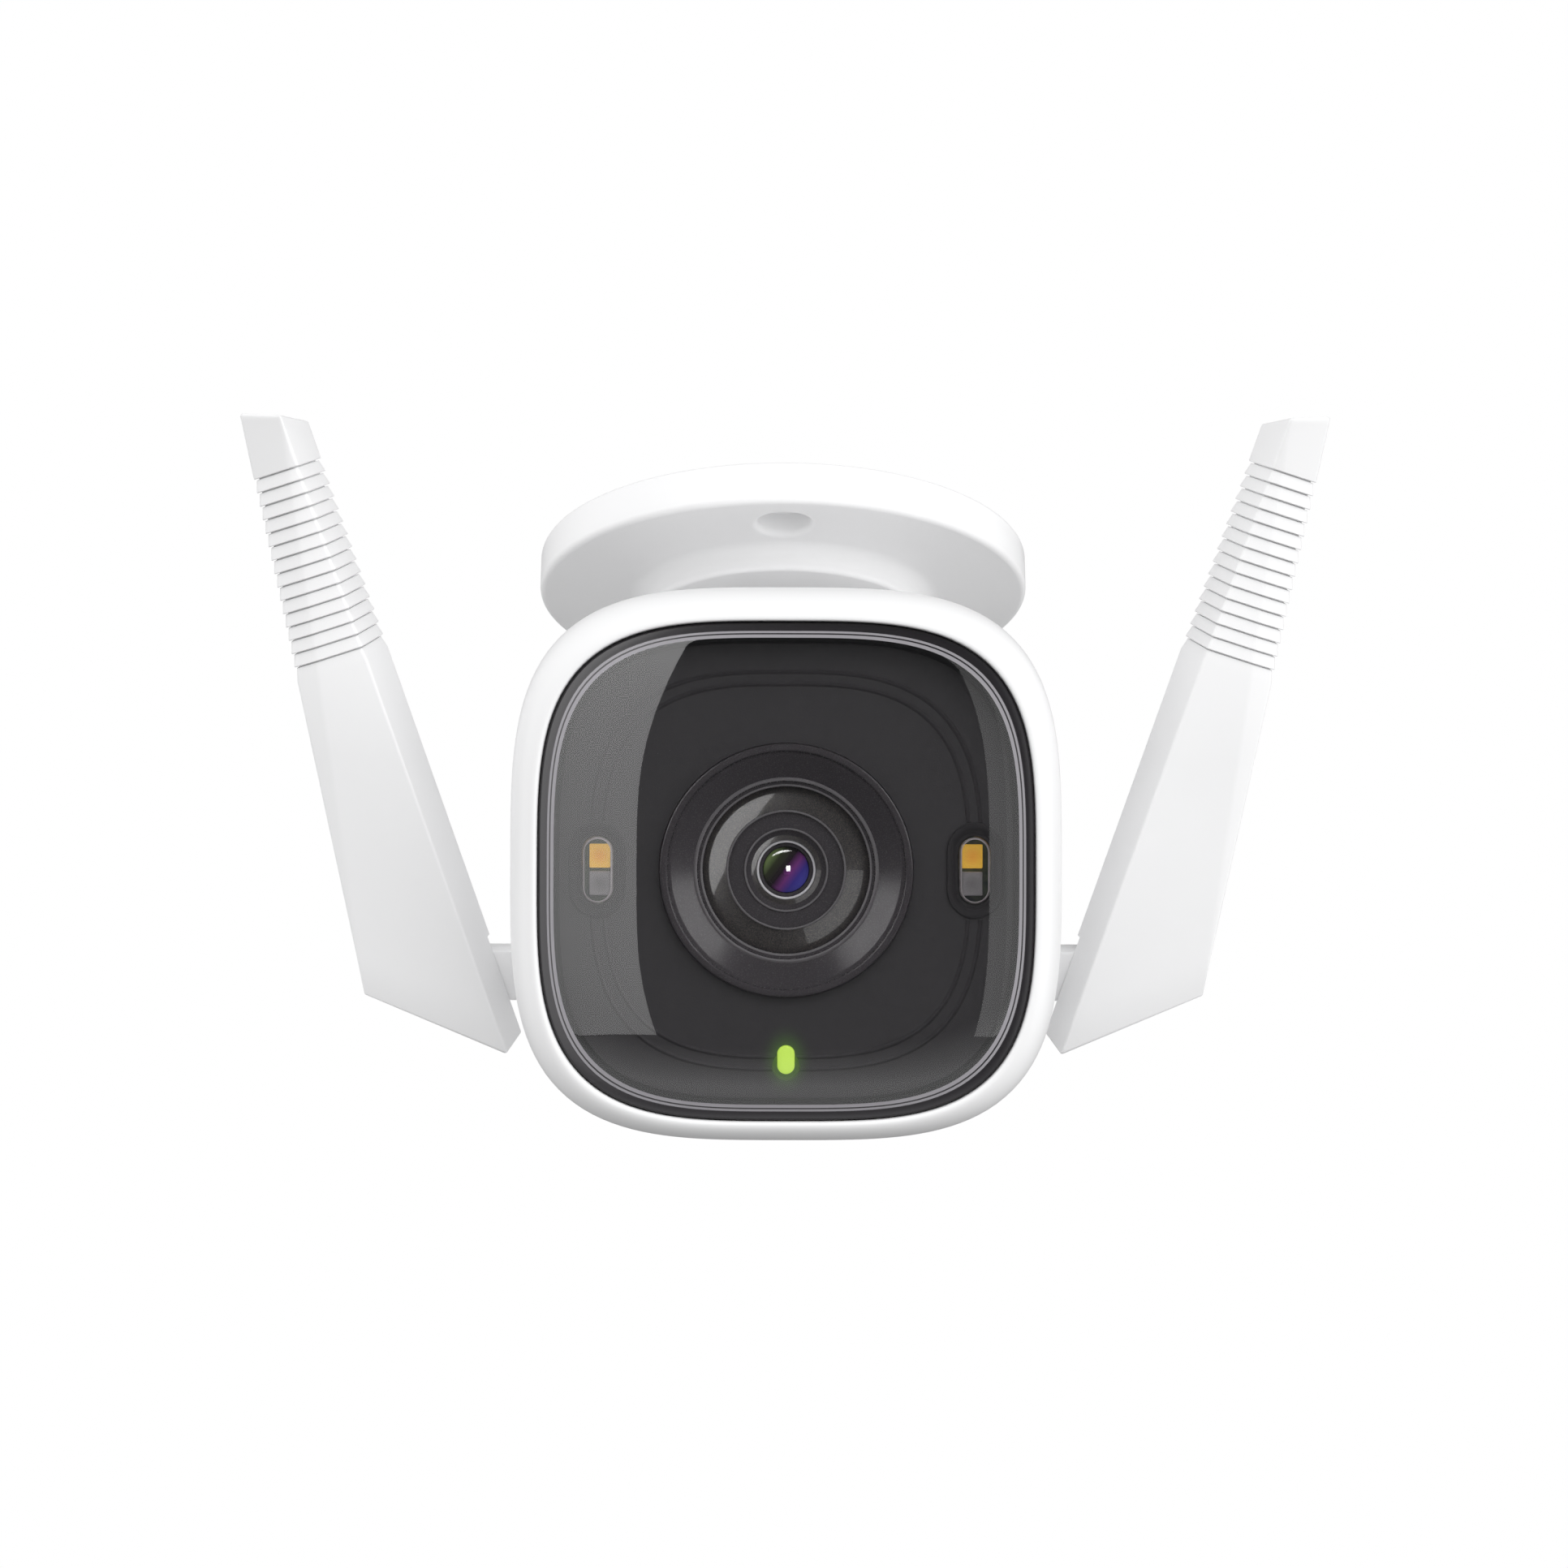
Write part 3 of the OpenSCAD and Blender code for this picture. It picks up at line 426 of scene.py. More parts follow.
def glowing_chips(name, centre_colour, edge_colour, strength, nodes_named):
    """Light chip that changes colour from its middle and glows by its emission, for chips on both sides of the
    lens; on the unlit white and infrared chips that glow is painted.
    """
    tree, shader = new_material(name)
    low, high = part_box(nodes_named)
    middle = (low + high) / 2
    shift = added(tree, "VectorMath", {0: coordinates(tree), 1: (0, middle.y, middle.z)},
                  operation="SUBTRACT")
    fold = added(tree, "VectorMath", {0: shift}, operation="ABSOLUTE")
    chip = (high.x - CHIP_W * MM / 2, 0, 0)
    offset = added(tree, "VectorMath", {0: fold, 1: chip}, "Value", operation="DISTANCE")
    colour = mixed(tree, ranged(tree, offset, 0.0, 1.0, 0.2 * MM, 1.3 * MM), centre_colour, edge_colour)
    feed(tree, shader, {"Base Color": colour, "Emission Color": colour, "Emission Strength": strength,
                        "Roughness": 0.35})


def coated_lens(name):
    """Front element: dark glass with its coating's coloured reflections painted on, turning from green over violet
    to blue across it, and a painted yellow-green ring round its middle.
    """
    tree, shader = new_material(name)
    centre = node_centre("front_lens")
    shift = added(tree, "VectorMath", {0: coordinates(tree), 1: centre}, operation="SUBTRACT")
    across = added(tree, "VectorMath", {0: shift, 1: COATING_REFLECTION_AXIS}, "Value", operation="DOT_PRODUCT")
    reach = ranged(tree, across, 0.0, 1.0, -LENS_GLASS_R * MM, LENS_GLASS_R * MM)
    ramp = tree.nodes.new("ShaderNodeValToRGB")
    for i, (position, colour) in enumerate(COATING_REFLECTION_COLOURS):
        stop = ramp.color_ramp.elements[i] if i < 2 else ramp.color_ramp.elements.new(position)
        stop.position = position
        stop.color = (*colour, 1)
    feed(tree, ramp, {"Fac": reach})
    from_ring = distance_from(tree, centre + FORWARD * 0.4 * MM)
    # Painted reflection: a thin yellow-green ring round the lens's middle.
    reflection_ring_mask = added(tree, "Math", {0: from_ring, 1: 1.2, 2: 0.11}, operation="COMPARE")
    tint = {"Factor": reflection_ring_mask, "A": ramp.outputs["Color"], "B": (0.34, 0.42, 0.08, 1)}
    feed(tree, shader, {"Base Color": added(tree, "Mix", tint, "Result", data_type="RGBA"),
                        "Roughness": ranged(tree, reach, 0.03, 0.08, 0, 1),
                        "Coat Weight": 1.0, "Coat Roughness": 0.02, "IOR": 1.6})


def speckled(name, colour, fleck, roughness):
    """Dark glass-edge paint with fine metallic flecks under a clear coat."""
    tree, shader = new_material(name)
    flecks = noise(tree, coordinates(tree), 0.12, 3.0)
    amount = ranged(tree, flecks, 0.0, 1.0, 0.45, 0.75)
    feed(tree, shader, {"Base Color": mixed(tree, amount, colour, fleck),
                        "Roughness": ranged(tree, flecks, roughness + 0.1, roughness - 0.1),
                        "Coat Weight": 1.0, "Coat Roughness": 0.03})
    bumped(tree, shader, flecks, 0.006)


def board(name, colour, copper):
    """Solder mask over faint copper tracks."""
    tree, shader = new_material(name)
    tracks = added(tree, "TexVoronoi", {"Vector": coordinates(tree), "Scale": 1 / (1.6 * MM)}, "Distance",
                   distance="MANHATTAN", feature="F1")
    amount = ranged(tree, tracks, 0.0, 0.5, 0.35, 0.75)
    feed(tree, shader, {"Base Color": mixed(tree, amount, colour, copper),
                        "Roughness": ranged(tree, tracks, 0.3, 0.45)})
    bumped(tree, shader, tracks, 0.02)


# Materials named after the CAD's slots
moulded("white_plastic", (0.87, 0.87, 0.875), 0.42, tint=0.008, depth_mm=0.004)
moulded("black_rubber", (0.016, 0.016, 0.017), 0.72, grain_mm=0.3, depth_mm=0.02)
moulded("bearing_plastic", (0.72, 0.71, 0.64), 0.4)
metal("steel", (0.60, 0.61, 0.63), 0.28)
moulded("dark_plastic", (0.045, 0.045, 0.048), 0.5, depth_mm=0.015)
pane("smoked_glass", (0.02, 0.02, 0.022), 0.30, 0.012, 2.3)
moulded("black_plate", (0.040, 0.037, 0.041), 0.38, grain_mm=0.14, depth_mm=0.006)
pane("lens_glass", (0.10, 0.09, 0.2), 0.45, 0.03, 1.9)
pane("light_cover", (0.62, 0.60, 0.62), 0.08, 0.08, 1.6, 2.0)
# The white and infrared chips are unlit, so their emission is a painted glow; the green status light is lit and
# glows for real.
glowing_chips("white_led", (0.86, 0.34, 0.02), (0.92, 0.52, 0.05), 0.66, "white_leds")
glowing_chips("infrared_led", (0.24, 0.23, 0.24), (0.42, 0.40, 0.42), 0.12, "infrared_leds")
board("circuit_board", (0.012, 0.055, 0.03), (0.10, 0.16, 0.05))
glowing_chips("green_light", (0.62, 0.86, 0.13), (0.55, 0.82, 0.10), 0.62, "status_light_pipe")
pane("sensor", (0.02, 0.02, 0.05), 1.0, 0.05, 1.7, 1.0)
metal("aluminium", (0.72, 0.73, 0.75), 0.35)
metal("gold", (0.75, 0.52, 0.22), 0.25)

# Materials of the pieces modelled here only
face_material("face", (0.061, 0.057, 0.062), 0.42)
# Light grey of the window's ground edge lines: partly the frosted edge's own colour, partly a painted highlight
# standing in for the bevel's reflection.
moulded("ground_edge_highlight", (0.27, 0.26, 0.28), 0.35, grain_mm=0.1, depth_mm=0.004)
moulded("black_print", (0.018, 0.016, 0.019), 0.22, grain_mm=0.1, depth_mm=0.002)
pane("clear_back", (0.02, 0.02, 0.02), 0.02, 0.3, 1.1)
pane("cover_rim", (0.55, 0.50, 0.52), 0.75, 0.25, 1.5, 1.0)
coated_lens("coated_lens")
moulded("lens_black", (0.068, 0.061, 0.068), 0.25, grain_mm=0.12, depth_mm=0.003)
# Pale colour of the barrel's silver ring: partly its own silver, partly a painted highlight.
moulded("silver_rim_highlight", (0.80, 0.79, 0.82), 0.2, grain_mm=0.1, depth_mm=0.002)
# Lighter grey of the thin rounded rims on the lens surround and barrel: a painted highlight along their edges.
moulded("rim_line_highlight", (0.20, 0.19, 0.20), 0.25, grain_mm=0.1, depth_mm=0.002)
speckled("brown_glass", (0.034, 0.031, 0.033), (0.19, 0.17, 0.155), 0.3)

# ---------------------------------------------------------------- pieces


def weld(mesh):
    """Joins points that coincide, and turns every face outward."""
    work = bmesh.new()
    work.from_mesh(mesh)
    bmesh.ops.remove_doubles(work, verts=work.verts, dist=0.004 * MM)
    bmesh.ops.dissolve_degenerate(work, edges=work.edges, dist=0.002 * MM)
    bmesh.ops.recalc_face_normals(work, faces=work.faces)
    work.to_mesh(mesh)
    work.free()


def place_mesh(name, shape, place):
    """Object made from a shape in millimetres, with its mesh in the row frame and its faces outward."""
    points, faces, tags = shape
    mesh = bpy.data.meshes.new(name)
    mesh.from_pydata([place @ Vector(p) for p in points], [], faces)
    mesh.polygons.foreach_set("material_index", tags)
    weld(mesh)
    obj = bpy.data.objects.new(name, mesh)
    bpy.context.scene.collection.objects.link(obj)
    return obj


def combine(obj, shapes, place, operation):
    """Cuts shapes from a piece, or joins them to it, in one exact Boolean step each."""
    tools = []
    for i, shape in enumerate(shapes):
        tool = place_mesh(f"{obj.name}_tool_{i}", shape, place)
        modifier = obj.modifiers.new(tool.name, "BOOLEAN")
        modifier.operation = operation
        modifier.solver = "EXACT"
        modifier.object = tool
        tools.append(tool)
    bake_modifiers(obj)
    weld(obj.data)
    for tool in tools:
        bpy.data.objects.remove(tool)


def bake_modifiers(obj):
    graph = bpy.context.evaluated_depsgraph_get()
    mesh = bpy.data.meshes.new_from_object(obj.evaluated_get(graph))
    obj.modifiers.clear()
    obj.data = mesh


def bevel(obj, width, segments=2, angle=40):
    """Rounds a piece's sharp edges."""
    modifier = obj.modifiers.new("round", "BEVEL")
    modifier.width = width * MM
    modifier.segments = segments
    modifier.limit_method = "ANGLE"
    modifier.angle_limit = math.radians(angle)
    modifier.harden_normals = False
    bake_modifiers(obj)


def dress(obj, materials, angle=SMOOTH_ANGLE):
    """Gives an object its materials, and smooth shading up to an angle."""
    for name in materials:
        obj.data.materials.append(MATERIALS[name])
    for polygon in obj.data.polygons:
        polygon.use_smooth = True
    obj.data.set_sharp_from_angle(angle=math.radians(angle))


def finish_piece(obj, body, slot, *nodes, materials=None, angle=SMOOTH_ANGLE):
    """Gives a piece its look in its slot's material or the listed materials, its body, and hides the CAD nodes
    that it stands for.
    """
    dress(obj, materials or [slot], angle)
    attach(obj, body)
    if nodes:
        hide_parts(*nodes)
    return obj


def piece(name, shape, place, body, slot, *nodes, **look):
    """Piece that is one shape as it stands."""
    return finish_piece(place_mesh("camera_" + name, shape, place), body, slot, *nodes, **look)


def turned_to_y(shape):
    """Turns a shape's z axis to point along y, with its height downward."""
    points, faces, tags = shape
    return [(x, -z, y) for x, y, z in points], faces, tags


# Housing


def half_sizes(z, inset=0.0):
    """Half width and height of the tapered housing at z; behind z = 0 its rear edge is rounded."""
    front_w, front_h = FRONT_HALF
    if z >= 0:
        share = z / SECTION_Z
        return (REAR_HALF_W + (front_w - REAR_HALF_W) * share - inset,
                REAR_HALF_H + (front_h - REAR_HALF_H) * share - inset)
    reach = math.sqrt(max(0.0, (REAR_ROUND - inset) ** 2 - z * z)) - REAR_ROUND
    return REAR_HALF_W + reach, REAR_HALF_H + reach


def body_ring(z, inset=0.0):
    return ring(*half_sizes(z, inset), z)


RING_LOW, RING_HIGH = local_box("front_ring", FRONT)
FRONT_HALF = (RING_HIGH.x, RING_HIGH.y)
LIP_Z = RING_HIGH.z
BALL_Y = (FRONT.inverted() @ BALL).y
REAR_ROUND = REAR_HALF_H - BALL_Y
WINDOW_LOW, WINDOW_HIGH = local_box("front_window", LENS)
WINDOW_HALF = (WINDOW_HIGH.x, WINDOW_HIGH.y)
LENS_DROP = -(FRONT.inverted() @ LENS.translation).y


def front_ring():
    """Front ring: a straight band, a soft quarter curve to the window's lip, and the ledge inside."""
    opening = [half + WINDOW_FIT for half in WINDOW_HALF]
    depth = LIP_Z - SECTION_Z
    draw = FRONT_HALF[0] - opening[0] - 0.35
    power = 1.7
    rings = [body_ring(SEAM_Z, SEAM_DROP), body_ring(SEAM_Z + SEAM_DROP)]
    rings += [body_ring(SEAM_Z + (SECTION_Z - SEAM_Z) * i / 4) for i in range(1, 4)]
    steps = 20
    for i in range(steps + 1):
        t = math.pi / 2 * i / steps
        rise = math.sin(t) ** (2 / power)
        inset = draw * (1 - math.cos(t) ** (2 / power))
        rings.append(ring(FRONT_HALF[0] - inset, FRONT_HALF[1] - inset, SECTION_Z + depth * rise,
                          LENS_DROP * rise ** 2))
    lip = 0.28
    for i in range(1, 5):
        t = math.pi / 2 * i / 4
        inset = lip * (1 - math.sin(t))
        rings.append(ring(opening[0] + inset, opening[1] + inset, LIP_Z - lip * (1 - math.cos(t)), LENS_DROP))
    ledge_front = LEDGE_Z + 2.8
    rings.append(ring(*opening, ledge_front, LENS_DROP))
    rings += [ring(LEDGE_HALF, LEDGE_HALF, z, LENS_DROP) for z in (ledge_front, LEDGE_Z)]
    inner = half_sizes(SEAM_Z, 2.5)
    rings += [ring(*inner, LEDGE_Z), ring(*inner, SEAM_Z)]
    obj = place_mesh("camera_front_ring", loft(rings, closed=True), FRONT)
    hole = lathe([(1.0, -3.0), (1.0, 0.35), (1.15, 0.5), (1.4, 0.7), (2.0, 1.6), (0, 1.6), (0, -3.0)], 48)
    hole = moved(turned_to_y(hole), 0, 0.45 - FRONT_HALF[1], MIC_Z)
    combine(obj, [hole], FRONT, "DIFFERENCE")
    finish_piece(obj, "head", "white_plastic", "front_ring")


def neck_slot(half_width, reach, margin):
    """Wedge that the neck sweeps from its highest to its lowest tilt."""
    low, high = JOINTS["tilt"]["range_deg"]
    rest = math.degrees(math.atan2(-FORWARD.z, -FORWARD.y))
    wedge = [(0.0, 0.0)] + fillet((0, 0), reach, -(rest + low - margin), -(rest + high + margin), 24)
    return moved(across_x(wedge, half_width), 0, BALL_Y, 0)


def underside_frame():
    """Frame on the underside at the card cover: y inward, z forward along the taper."""
    half_h = half_sizes(COVER_Z)[1]
    taper = math.atan((FRONT_HALF[1] - REAR_HALF_H) / SECTION_Z)
    return FRONT @ Matrix.Translation((0, -half_h, COVER_Z)) @ Matrix.Rotation(taper, 4, "X")


def rear_shell():
    """Rear shell with its rounded back, neck slot, hub bores, card recess, speaker grille and gland hole."""
    steps = 20
    angles = [math.pi / 2 * (1 - i / steps) for i in range(steps)]
    outer = [body_ring(-REAR_ROUND * math.sin(a)) for a in angles]
    inner = [body_ring(-(REAR_ROUND - WALL) * math.sin(a), WALL) for a in reversed(angles)]
    straight = [body_ring(SEAM_Z * i / 6) for i in range(6)]
    rings = outer + straight + [body_ring(SEAM_Z - SEAM_DROP), body_ring(SEAM_Z, SEAM_DROP),
                                body_ring(SEAM_Z, WALL), body_ring(0, WALL)] + inner
    obj = place_mesh("camera_rear_shell", loft(rings), FRONT)
    under = underside_frame()
    combine(obj, [box_shape((-13, 1.2, -13), (13, 5.0, 13))], under, "UNION")
    cutters = [neck_slot(6.2, 30, 27)]
    hub_y, hub_z = (FRONT.inverted() @ joint_point("right_fold"))[1:]
    cutters += [moved(along_x(rod(3.05, side * 20, side * 40)), 0, hub_y, hub_z) for side in (-1, 1)]
    cutters.append(moved(rod(4.6, -REAR_ROUND - 2, -REAR_ROUND + 10), 0, GLAND_Y, 0))
    hole = turned_to_y(rod(0.6, 20, 40, 24))
    cutters += [moved(hole, i * 2.6, 0, 42 + j * 2.6) for i in range(-2, 3) for j in range(-1, 2)]
    combine(obj, cutters, FRONT, "DIFFERENCE")
    reach = COVER_HALF + COVER_GAP
    sill_y, pocket_y, pocket_z = COVER_T + 0.3, HINGE_Y + HINGE_R + 0.3, HINGE_Z + HINGE_R + 0.35
    recess = across_x([(-1, -reach), (pocket_y, -reach), (pocket_y, pocket_z), (sill_y, pocket_z),
                       (sill_y, reach), (-1, reach)], reach)
    slot = box_shape((-7, -1.5, -3), (7, 8, 7))
    pin_hole = moved(along_x(rod(0.62, -12, 12)), 0, HINGE_Y, HINGE_Z)
    combine(obj, [recess, slot, pin_hole], under, "DIFFERENCE")
    finish_piece(obj, "head", "white_plastic", "rear_shell")


def card_cover():
    """Hinged cover on the underside with rounded edges and a finger scoop."""
    under = underside_frame()
    lid = box_shape((-COVER_HALF, 0, HINGE_Z), (COVER_HALF, COVER_T, COVER_HALF))
    obj = place_mesh("camera_card_cover", lid, under)
    knuckle = moved(along_x(rod(HINGE_R, -COVER_HALF, COVER_HALF)), 0, HINGE_Y, HINGE_Z)
    combine(obj, [knuckle], under, "UNION")
    scoop = moved(along_x(rod(1.2, -4.5, 4.5)), 0, -0.75, COVER_HALF - 3)
    bore = moved(along_x(rod(0.65, -12, 12)), 0, HINGE_Y, HINGE_Z)
    combine(obj, [scoop, bore], under, "DIFFERENCE")
    bevel(obj, 0.2, 3)
    finish_piece(obj, "cover", "white_plastic", "card_cover")


def cable_gland():
    """Rubber gland: a collar against the housing and a ribbed sleeve."""
    back = -REAR_ROUND
    profile = [(2.6, back + 8), (4.6, back + 8), (4.6, back), (6.0, back)]
    profile += fillet((5.4, back - 2.4), 0.6, 0, -90, 5)
    tail_from, tail_to = back - 3.0, back - 8.0
    ribs = 4
    for i in range(ribs):
        z = tail_from - (tail_from - tail_to) * i / ribs
        radius = 4.7 - 0.9 * i / ribs
        pitch = (tail_from - tail_to) / ribs
        profile += [(radius - 0.55, z), (radius - 0.55, z - pitch * 0.3), (radius, z - pitch * 0.42),
                    (radius, z - pitch * 0.88), (radius - 0.55, z - pitch)]
    profile += [(3.3, tail_to), (2.6, tail_to)]
    sleeve = moved(lathe(profile, 96), 0, GLAND_Y)
    piece("cable_gland", sleeve, FRONT, "head", "black_rubber", "cable_gland")


# Window and face


def crown_height(rho):
    """Height of the window's outer face above its rim, for a share rho of the way to the edge."""
    return CROWN * (1 - rho ** CROWN_POWER)


def front_window():
    """Smoked pane: black rim, a double ground line round its edge in a light grey that is partly the frosted
    edge's colour and partly a painted highlight, and a gently crowned face.
    """
    a, b = WINDOW_HALF
    back, top = WINDOW_LOW.z, WINDOW_HIGH.z
    face_a = a - RIM_W - STEP_W
    face_edge_z = top - CROWN
    levels = [(0.0, back), (0.0, face_edge_z - 0.55), (0.08, face_edge_z - 0.4), (0.25, face_edge_z - 0.32),
              (RIM_W - 0.1, face_edge_z - 0.36), (RIM_W, face_edge_z - 0.34), (RIM_W + 0.26, face_edge_z - 0.16),
              (RIM_W + 0.42, face_edge_z - 0.15), (RIM_W + 0.5, face_edge_z - 0.13),
              (RIM_W + STEP_W, face_edge_z)]
    bands = [2, 2, 2, 2, 2, 1, 2, 1, 1]
    rings = [ring(a - d, b - d, z) for d, z in levels]
    steps = 30
    for i in range(1, steps + 1):
        rho = 1 - (i / steps) ** 1.25 * 0.985
        rings.append(ring(face_a * rho, (b - RIM_W - STEP_W) * rho, face_edge_z + crown_height(rho)))
        bands.append(0)
    rings.append(ring(face_a * 0.015, face_a * 0.015, back))
    bands.append(3)
    rings.append(ring(a, b, back))
    bands.append(3)
    return piece("front_window", loft(rings, closed=True, bands=bands + [3]), LENS, "head", "smoked_glass",
                 "front_window", materials=["smoked_glass", "ground_edge_highlight", "black_print", "clear_back"],
                 angle=40)


def window_gasket():
    low, high = local_box("window_gasket", LENS)
    width, edge = 2.2, 0.5
    levels = [(0, low.z), (0, high.z), (width - edge, high.z)]
    levels += [(width - edge + radial, high.z - edge + rise)
               for radial, rise in fillet((0, 0), edge, 90, 0, 5)[1:]]
    levels.append((width, low.z))
    rings = [ring(high.x - inset, high.y - inset, z) for inset, z in levels]
    piece("window_gasket", loft(rings, closed=True), LENS, "head", "black_rubber", "window_gasket")


def face_plate():
    """Black face plate with two fine moulded lines, and openings for the lens and the lights."""
    low, high = local_box("front_window", LENS)
    plate_low, plate_high = local_box("face_plate", LENS)
    base, top = plate_low.z, plate_high.z - RIDGE_H
    rings = [ring(high.x, high.y, base), ring(high.x, high.y, top)]
    for half_w, half_h in RIDGES:
        for offset, rise in ((0.25, 0), (0.12, 0.7), (0, 1), (-0.12, 0.7), (-0.25, 0)):
            rings.append(ring(half_w + offset, half_h + offset, top + rise * RIDGE_H * 0.8, power=RIDGE_POWER))
    rings.append(ring(8, 8, top, power=2.2))
    obj = place_mesh("camera_face_plate", loft(rings), LENS)
    cutters = [rod(SURROUND_R, base - 1, top + 1, 128)]
    well = capsules([(5.1, 9.1, base - 1), (5.1, 9.1, top + 0.5)])
    rebate = capsules([(6.9, 11.4, top - 0.02), (7.3, 11.8, top + 1)])
    for side in (-1, 1):
        cutters += [moved(well, side * LIGHT_X), moved(rebate, side * LIGHT_X)]
    pipe_y = (LENS.inverted() @ node_centre("status_light_pipe")).y
    cutters.append(moved(capsules([(2.06, 3.36, base - 1), (2.06, 3.36, top + 1)]), 0, pipe_y))
    dish = [(0, top - 0.4), (1.25, top - 0.4), (1.55, top - 0.2), (1.75, top + 0.6), (0, top + 0.6)]
    cutters.append(moved(lathe(dish, 64), 0, pipe_y - 0.8))
    combine(obj, cutters, LENS, "DIFFERENCE")
    finish_piece(obj, "head", "black_plate", "face_plate", materials=["face"])


def light_window(side, word):
    """Rounded bezel with a raised flange, and the clear cover over one pair of light chips."""
    low, high = local_box(f"{word}_light_bezel", LENS)
    top = high.z
    x = side * LIGHT_X
    profile = [(5.1, 9.1, low.z), (5.1, 9.1, top - 0.35), (6.5, 11.0, top - 0.3), (6.5, 11.0, top - 0.1),
               (6.4, 10.9, top - 0.02), (6.2, 10.7, top), (5.5, 10.0, top - 0.03), (5.2, 9.6, top - 0.12),
               (4.9, 9.2, top - 0.3), (4.5, 8.7, top - 0.55), (3.9, 8.06, top - 0.6), (3.74, 7.9, top - 0.7),
               (3.68, 7.84, low.z)]
    name = f"{word}_light_bezel"
    piece(name, moved(capsules(profile, closed=True), x), LENS, "head", "black_plate", name)
    low, high = local_box(f"{word}_light_cover", LENS)
    cover_top = high.z - 0.25
    profile = [(3.56, 7.72, low.z), (3.56, 7.72, cover_top - 0.5), (3.48, 7.64, cover_top - 0.25),
               (3.3, 7.46, cover_top - 0.08), (3.0, 7.16, cover_top), (1.4, 5.5, cover_top + 0.05),
               (0.1, 4.3, cover_top + 0.05)]
    points, faces, tags = capsules(profile, bands=[1, 1, 1, 1, 0, 0])
    tags[-2] = 2
    name = f"{word}_light_cover"
    piece(name, moved((points, faces, tags), x), LENS, "head", "light_cover", name,
          materials=["light_cover", "cover_rim", "clear_back"])


def light_chips():
    """White and infrared chips: a raised phosphor or epoxy square on a pale carrier."""
    for word, slot in (("white", "white_led"), ("infrared", "infrared_led")):
        name = f"{word}_leds"
        low, high = local_box(name, LENS)
        points, faces, tags = [], [], []
        for x in (-LIGHT_X, LIGHT_X):
            chip = box_shape((x - CHIP_W / 2, low.y, low.z), (x + CHIP_W / 2, high.y, high.z))
            faces += [[len(points) + i for i in face] for face in chip[1]]
            points += chip[0]
            tags += chip[2]
        obj = place_mesh("camera_" + name, (points, faces, tags), LENS)
        bevel(obj, 0.15, 3)
        finish_piece(obj, "head", slot, name)


def status_light():
    low, high = local_box("status_light_pipe", LENS)
    y = (low.y + high.y) / 2
    w, l = high.x - low.x, high.y - low.y
    profile = [(w, l, low.z)]
    profile += [(w - inset, l - inset, high.z + rise)
                for inset, rise in ((0, -0.2), (0.1, -0.05), (0.5, 0.02), (1.2, 0.06))]
    profile.append((0.1, l - w, high.z + 0.07))
    name = "status_light_pipe"
    piece(name, moved(capsules(profile), 0, y), LENS, "head", "green_light", name)


# Lens


def banded(count, ranges):
    """Face materials for a profile: 1 in the given ranges of its points and 0 elsewhere."""
    return [1 if any(first <= i <= last for first, last in ranges) else 0 for i in range(count)]


def lens_surround():
    """Turned surround: rounded lip, satin cone, a fine ring in a lighter grey that is a painted highlight, and a
    step down to the barrel.
    """
    low, high = local_box("lens_surround", LENS)
    top, bottom = high.z, low.z
    profile = [(7.2, bottom), (14.5, bottom), (14.5, top - 1.3), (14.6, top - 1.2), (14.6, top - 0.3)]
    profile += fillet((14.3, top - 0.3), 0.3, 0, 90, 5)
    profile += fillet((13.95, top - 0.25), 0.25, 90, 180, 4)
    profile += [(13.66, top - 0.5), (13.5, top - 0.55), (13.3, top - 0.6), (13.18, top - 0.68),
                (10.87, top - 2.27), (10.75, top - 2.35)]
    rims = [(len(profile) - 1, len(profile) + 3)]
    profile += fillet((10.5, top - 2.42), 0.2, 40, 150, 4)
    profile += [(10.25, top - 2.75), (9.95, top - 2.75)]
    rims.append((len(profile) - 1, len(profile) + 3))
    profile += fillet((9.85, top - 2.92), 0.15, 80, 180, 4)
    profile += [(9.7, bottom + 1.0), (7.2, bottom + 1.0)]
    bands = banded(len(profile), rims)
    return piece("lens_surround", lathe(profile, 160, bands=bands), LENS, "head", "black_plate",
                 "lens_surround", materials=["lens_black", "rim_line_highlight"], angle=24)


def dome(radius_in, radius_out, curve, top, steps=12):
    """Profile of a convex glass shoulder, from its outer radius in to its top edge."""
    centre = top - math.sqrt(curve ** 2 - radius_in ** 2)
    radii = [radius_out + (radius_in - radius_out) * i / steps for i in range(steps + 1)]
    return [(r, centre + math.sqrt(curve ** 2 - r ** 2)) for r in radii]


